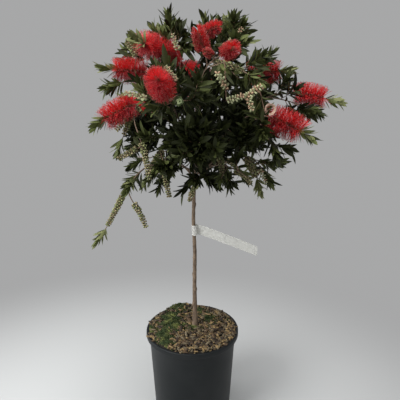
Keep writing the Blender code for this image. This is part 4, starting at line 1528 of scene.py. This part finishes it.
def make_mulch(soil, chips, moss):
    """The filling: a soil bed, bark chips strewn over it, and moss over its mounds."""
    rng = random.Random(SEED + 80)
    inner = RIM_RADIUS - 2 * LIP_ROUND - WALL - 0.0006
    rings = [(inner * k / MULCH_RINGS, POT_HEIGHT) for k in range(MULCH_RINGS)]
    below = POT_HEIGHT - MULCH_DEPTH
    profile = [*rings, (inner, POT_HEIGHT - 0.003), (wall_radius(below) - WALL - 0.0006, below), (0, below)]
    bm = spun(profile, 96)
    for vertex in bm.verts:
        if vertex.co.z > POT_HEIGHT - 0.001:
            vertex.co.z = mulch_height(vertex.co.x, vertex.co.y) - 0.0015
    link("mulch_bed", to_mesh(bm, "mulch_bed"), soil, "bark_mulch", ["mulch"], smooth=60)

    shapes = [chip_shape(rng) for _ in range(9)]
    groups = bunches_of("chips", chips, "bark_mulch", ["mulch"])
    names = list(groups)
    for _ in range(CHIP_COUNT):
        x, y = random_spot(rng, RIM_RADIUS - 0.008, SPILL)
        if math.hypot(x - STEM_X, y) < 0.010 or mossiness(x, y) > rng.uniform(0.30, 0.8):
            continue
        length = rng.choice(CHIP_LENGTHS)
        width = 0.0007 + length * rng.uniform(0.20, 0.50)
        thick = 0.0006 + 0.14 * length
        z = mulch_height(x, y) + rng.uniform(0, 0.0035)
        tip = Matrix.Rotation(rng.gauss(0, 0.30), 4, "X") @ Matrix.Rotation(rng.gauss(0, 0.26), 4, "Y")
        yaw = Matrix.Rotation(rng.uniform(0, math.tau), 4, "Z")
        place = Matrix.Translation((x, y, z)) @ yaw @ tip @ Matrix.Diagonal((length, width, thick, 1))
        groups[rng.choice(names)].stamp(rng.choice(shapes), place)
    build_all(groups)

    sprig = moss_shape()
    mosses = bunches_of("moss", moss, "bark_mulch", ["mulch"])
    names = list(mosses)
    planted = 0
    while planted < MOSS_COUNT:
        x, y = random_spot(rng, RIM_RADIUS - 0.009)
        if mossiness(x, y) < rng.uniform(0.12, 0.42):
            continue
        planted += 1
        z = mulch_height(x, y) - 0.0008
        size = rng.uniform(*MOSS_SIZES)
        heading = Vector((rng.gauss(0, 0.35), rng.gauss(0, 0.35), 1)).normalized()
        patch = noise.noise(Vector((x, y, 2)) * 60) + rng.uniform(-0.25, 0.25)
        tone = names[0 if patch < 0 else 1 if patch < 0.32 else 2]
        mosses[tone].stamp(sprig, stand((x, y, z), heading, Vector((rng.random(), 1, 0)), (size,) * 3))
    build_all(mosses)


def make_label(finish):
    """A film strip that goes once round the stem and hangs out to the right, with rounded corners."""
    middle, _ = stem_at(LABEL_HEIGHT)
    edges = [stem_at(LABEL_HEIGHT + k * LABEL_WIDTH / 2) for k in (-1, 0, 1)]
    stem_side = min(axis.x - radius for axis, radius in edges)
    middle.x = stem_side - CLEARANCE - LABEL_THICKNESS / 2 + LABEL_LOOP
    line = []
    for k in range(LOOP_STEPS + 1):
        angle = math.radians(-40 - 290 * k / LOOP_STEPS)
        line.append(Vector((LABEL_LOOP * math.cos(angle), LABEL_LOOP * math.sin(angle), 0)))
    start = line[-1].copy()
    for k in range(1, TAIL_STEPS + 1):
        share = k / TAIL_STEPS
        line.append(start + Vector((LABEL_TAIL * share, -LABEL_BOW * math.sin(math.pi * share), 0)))
    bm = bmesh.new()
    bmesh.ops.create_grid(bm, x_segments=len(line) - 1, y_segments=6, size=0.5)
    for vertex in bm.verts:
        along = round((vertex.co.x + 0.5) * (len(line) - 1))
        point = line[along]
        share = max(0.0, (point.x - start.x) / LABEL_TAIL) if along > LOOP_STEPS else 0.0
        left = (1 - share) * LABEL_TAIL
        inset = max(0.0, LABEL_CORNER - left)
        narrow = LABEL_CORNER - math.sqrt(max(0, LABEL_CORNER**2 - inset**2)) if inset else 0
        half = LABEL_WIDTH / 2 - narrow
        across = vertex.co.y * 2 * half
        ripple = LABEL_RIPPLE * math.sin(11 * share)
        drop = LABEL_DROOP * share**1.2
        vertex.co = middle + point + Vector((0, ripple, across - drop))
        vertex.co.z += LABEL_HEIGHT - middle.z
    bmesh.ops.solidify(bm, geom=list(bm.faces), thickness=LABEL_THICKNESS)
    bmesh.ops.recalc_face_normals(bm, faces=bm.faces)
    link("label_strip", to_mesh(bm, "label_strip"), finish, "label_plastic", ["label"], smooth=40)


# Studio

def make_studio():
    bpy.ops.mesh.primitive_plane_add(size=60)
    floor = bpy.context.active_object
    floor.name = "studio_floor"
    floor.data.materials.append(floor_finish())
    floor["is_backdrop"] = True
    world = bpy.data.worlds.new("studio")
    world.use_nodes = True
    world.node_tree.nodes["Background"].inputs["Color"].default_value = (*BACKDROP, 1)
    world.node_tree.nodes["Background"].inputs["Strength"].default_value = 1.0
    bpy.context.scene.world = world
    aim = Vector((0, 0, 0.6))
    for name, place, size, power in LIGHTS:
        lamp = bpy.data.lights.new(name, "AREA")
        lamp.shape = "DISK"
        lamp.size = size
        lamp.energy = power
        item = bpy.data.objects.new(name, lamp)
        item.location = place
        item.rotation_euler = (aim - Vector(place)).to_track_quat("-Z", "Y").to_euler()
        bpy.context.scene.collection.objects.link(item)


def make_camera():
    lens = bpy.data.cameras.new("camera")
    lens.sensor_width = SENSOR
    lens.lens = LENS
    camera = bpy.data.objects.new("camera", lens)
    camera.location = CAMERA_PLACE
    camera.rotation_euler = (math.radians(90 - CAMERA_DOWN), 0, 0)
    bpy.context.scene.collection.objects.link(camera)
    bpy.context.scene.camera = camera


# The object

bpy.context.scene.view_settings.view_transform = "Standard"
make_camera()
make_studio()

make_pot(plastic_finish())
make_mulch(
    woody_finish("soil_bed", (0.008, 0.006, 0.004), (0.030, 0.021, 0.013), 300, 0.9),
    woody_finishes("chip", CHIP_COLOURS, 260),
    woody_finishes("moss", MOSS_COLOURS, 500, 0.85),
)
make_label(label_finish())

make_stem(bark_finish("bark", (0.075, 0.048, 0.030), (0.235, 0.170, 0.115), 420))
boughs = {}
for bough in BOUGHS:
    boughs[bough] = bough_path(bough, boughs)
make_boughs(boughs, bark_finish("bough_bark", (0.075, 0.050, 0.034), (0.22, 0.155, 0.105), 520))

shoots, clearings = grow_head(boughs)
make_twigs(
    shoots,
    bark_finish("twig_woody", (0.085, 0.055, 0.035), (0.24, 0.16, 0.11), 620),
    bark_finish("twig_young", (0.16, 0.10, 0.06), (0.36, 0.21, 0.15), 620),
)
make_leaves(shoots, clearings)
make_brushes(
    shoots,
    {
        "scarlet": (stamen_finish("stamen_scarlet", (0.68, 0.008, 0.011), (0.80, 0.022, 0.026)), 70),
        # The crimson copy is the brushes' red darkened as painted shade for their lower side
        "shaded_crimson": (stamen_finish("stamen_crimson", (0.33, 0.004, 0.010), (0.50, 0.010, 0.016)), 70),
        "anthers": (stamen_finish("anther", (0.34, 0.020, 0.020), (0.52, 0.075, 0.060)), None),
        "calyces": (leaf_finish("calyx", (0.20, 0.09, 0.05)), None),
    },
)
make_capsules(
    shoots,
    {
        "tan": woody_finish("capsule_tan", (0.17, 0.14, 0.070), (0.42, 0.36, 0.20)),
        "green": woody_finish("capsule_green", (0.15, 0.17, 0.060), (0.36, 0.38, 0.17)),
        "mouths": woody_finish("capsule_mouth", (0.010, 0.008, 0.005), (0.040, 0.030, 0.016)),
        "cream": woody_finish("bud_cream", (0.25, 0.27, 0.13), (0.50, 0.51, 0.30)),
        "peach": woody_finish("bud_peach", (0.30, 0.19, 0.11), (0.55, 0.37, 0.24)),
    },
)
make_withered(shoots, woody_finish("bract_peach", (0.33, 0.20, 0.14), (0.56, 0.39, 0.30)))
make_buds(shoots, leaf_finish("bud_green", (0.34, 0.40, 0.22)))

boxes = {"cad": cad_box, "visual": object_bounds()}
{name: [list(corner) for corner in box] for name, box in boxes.items()}
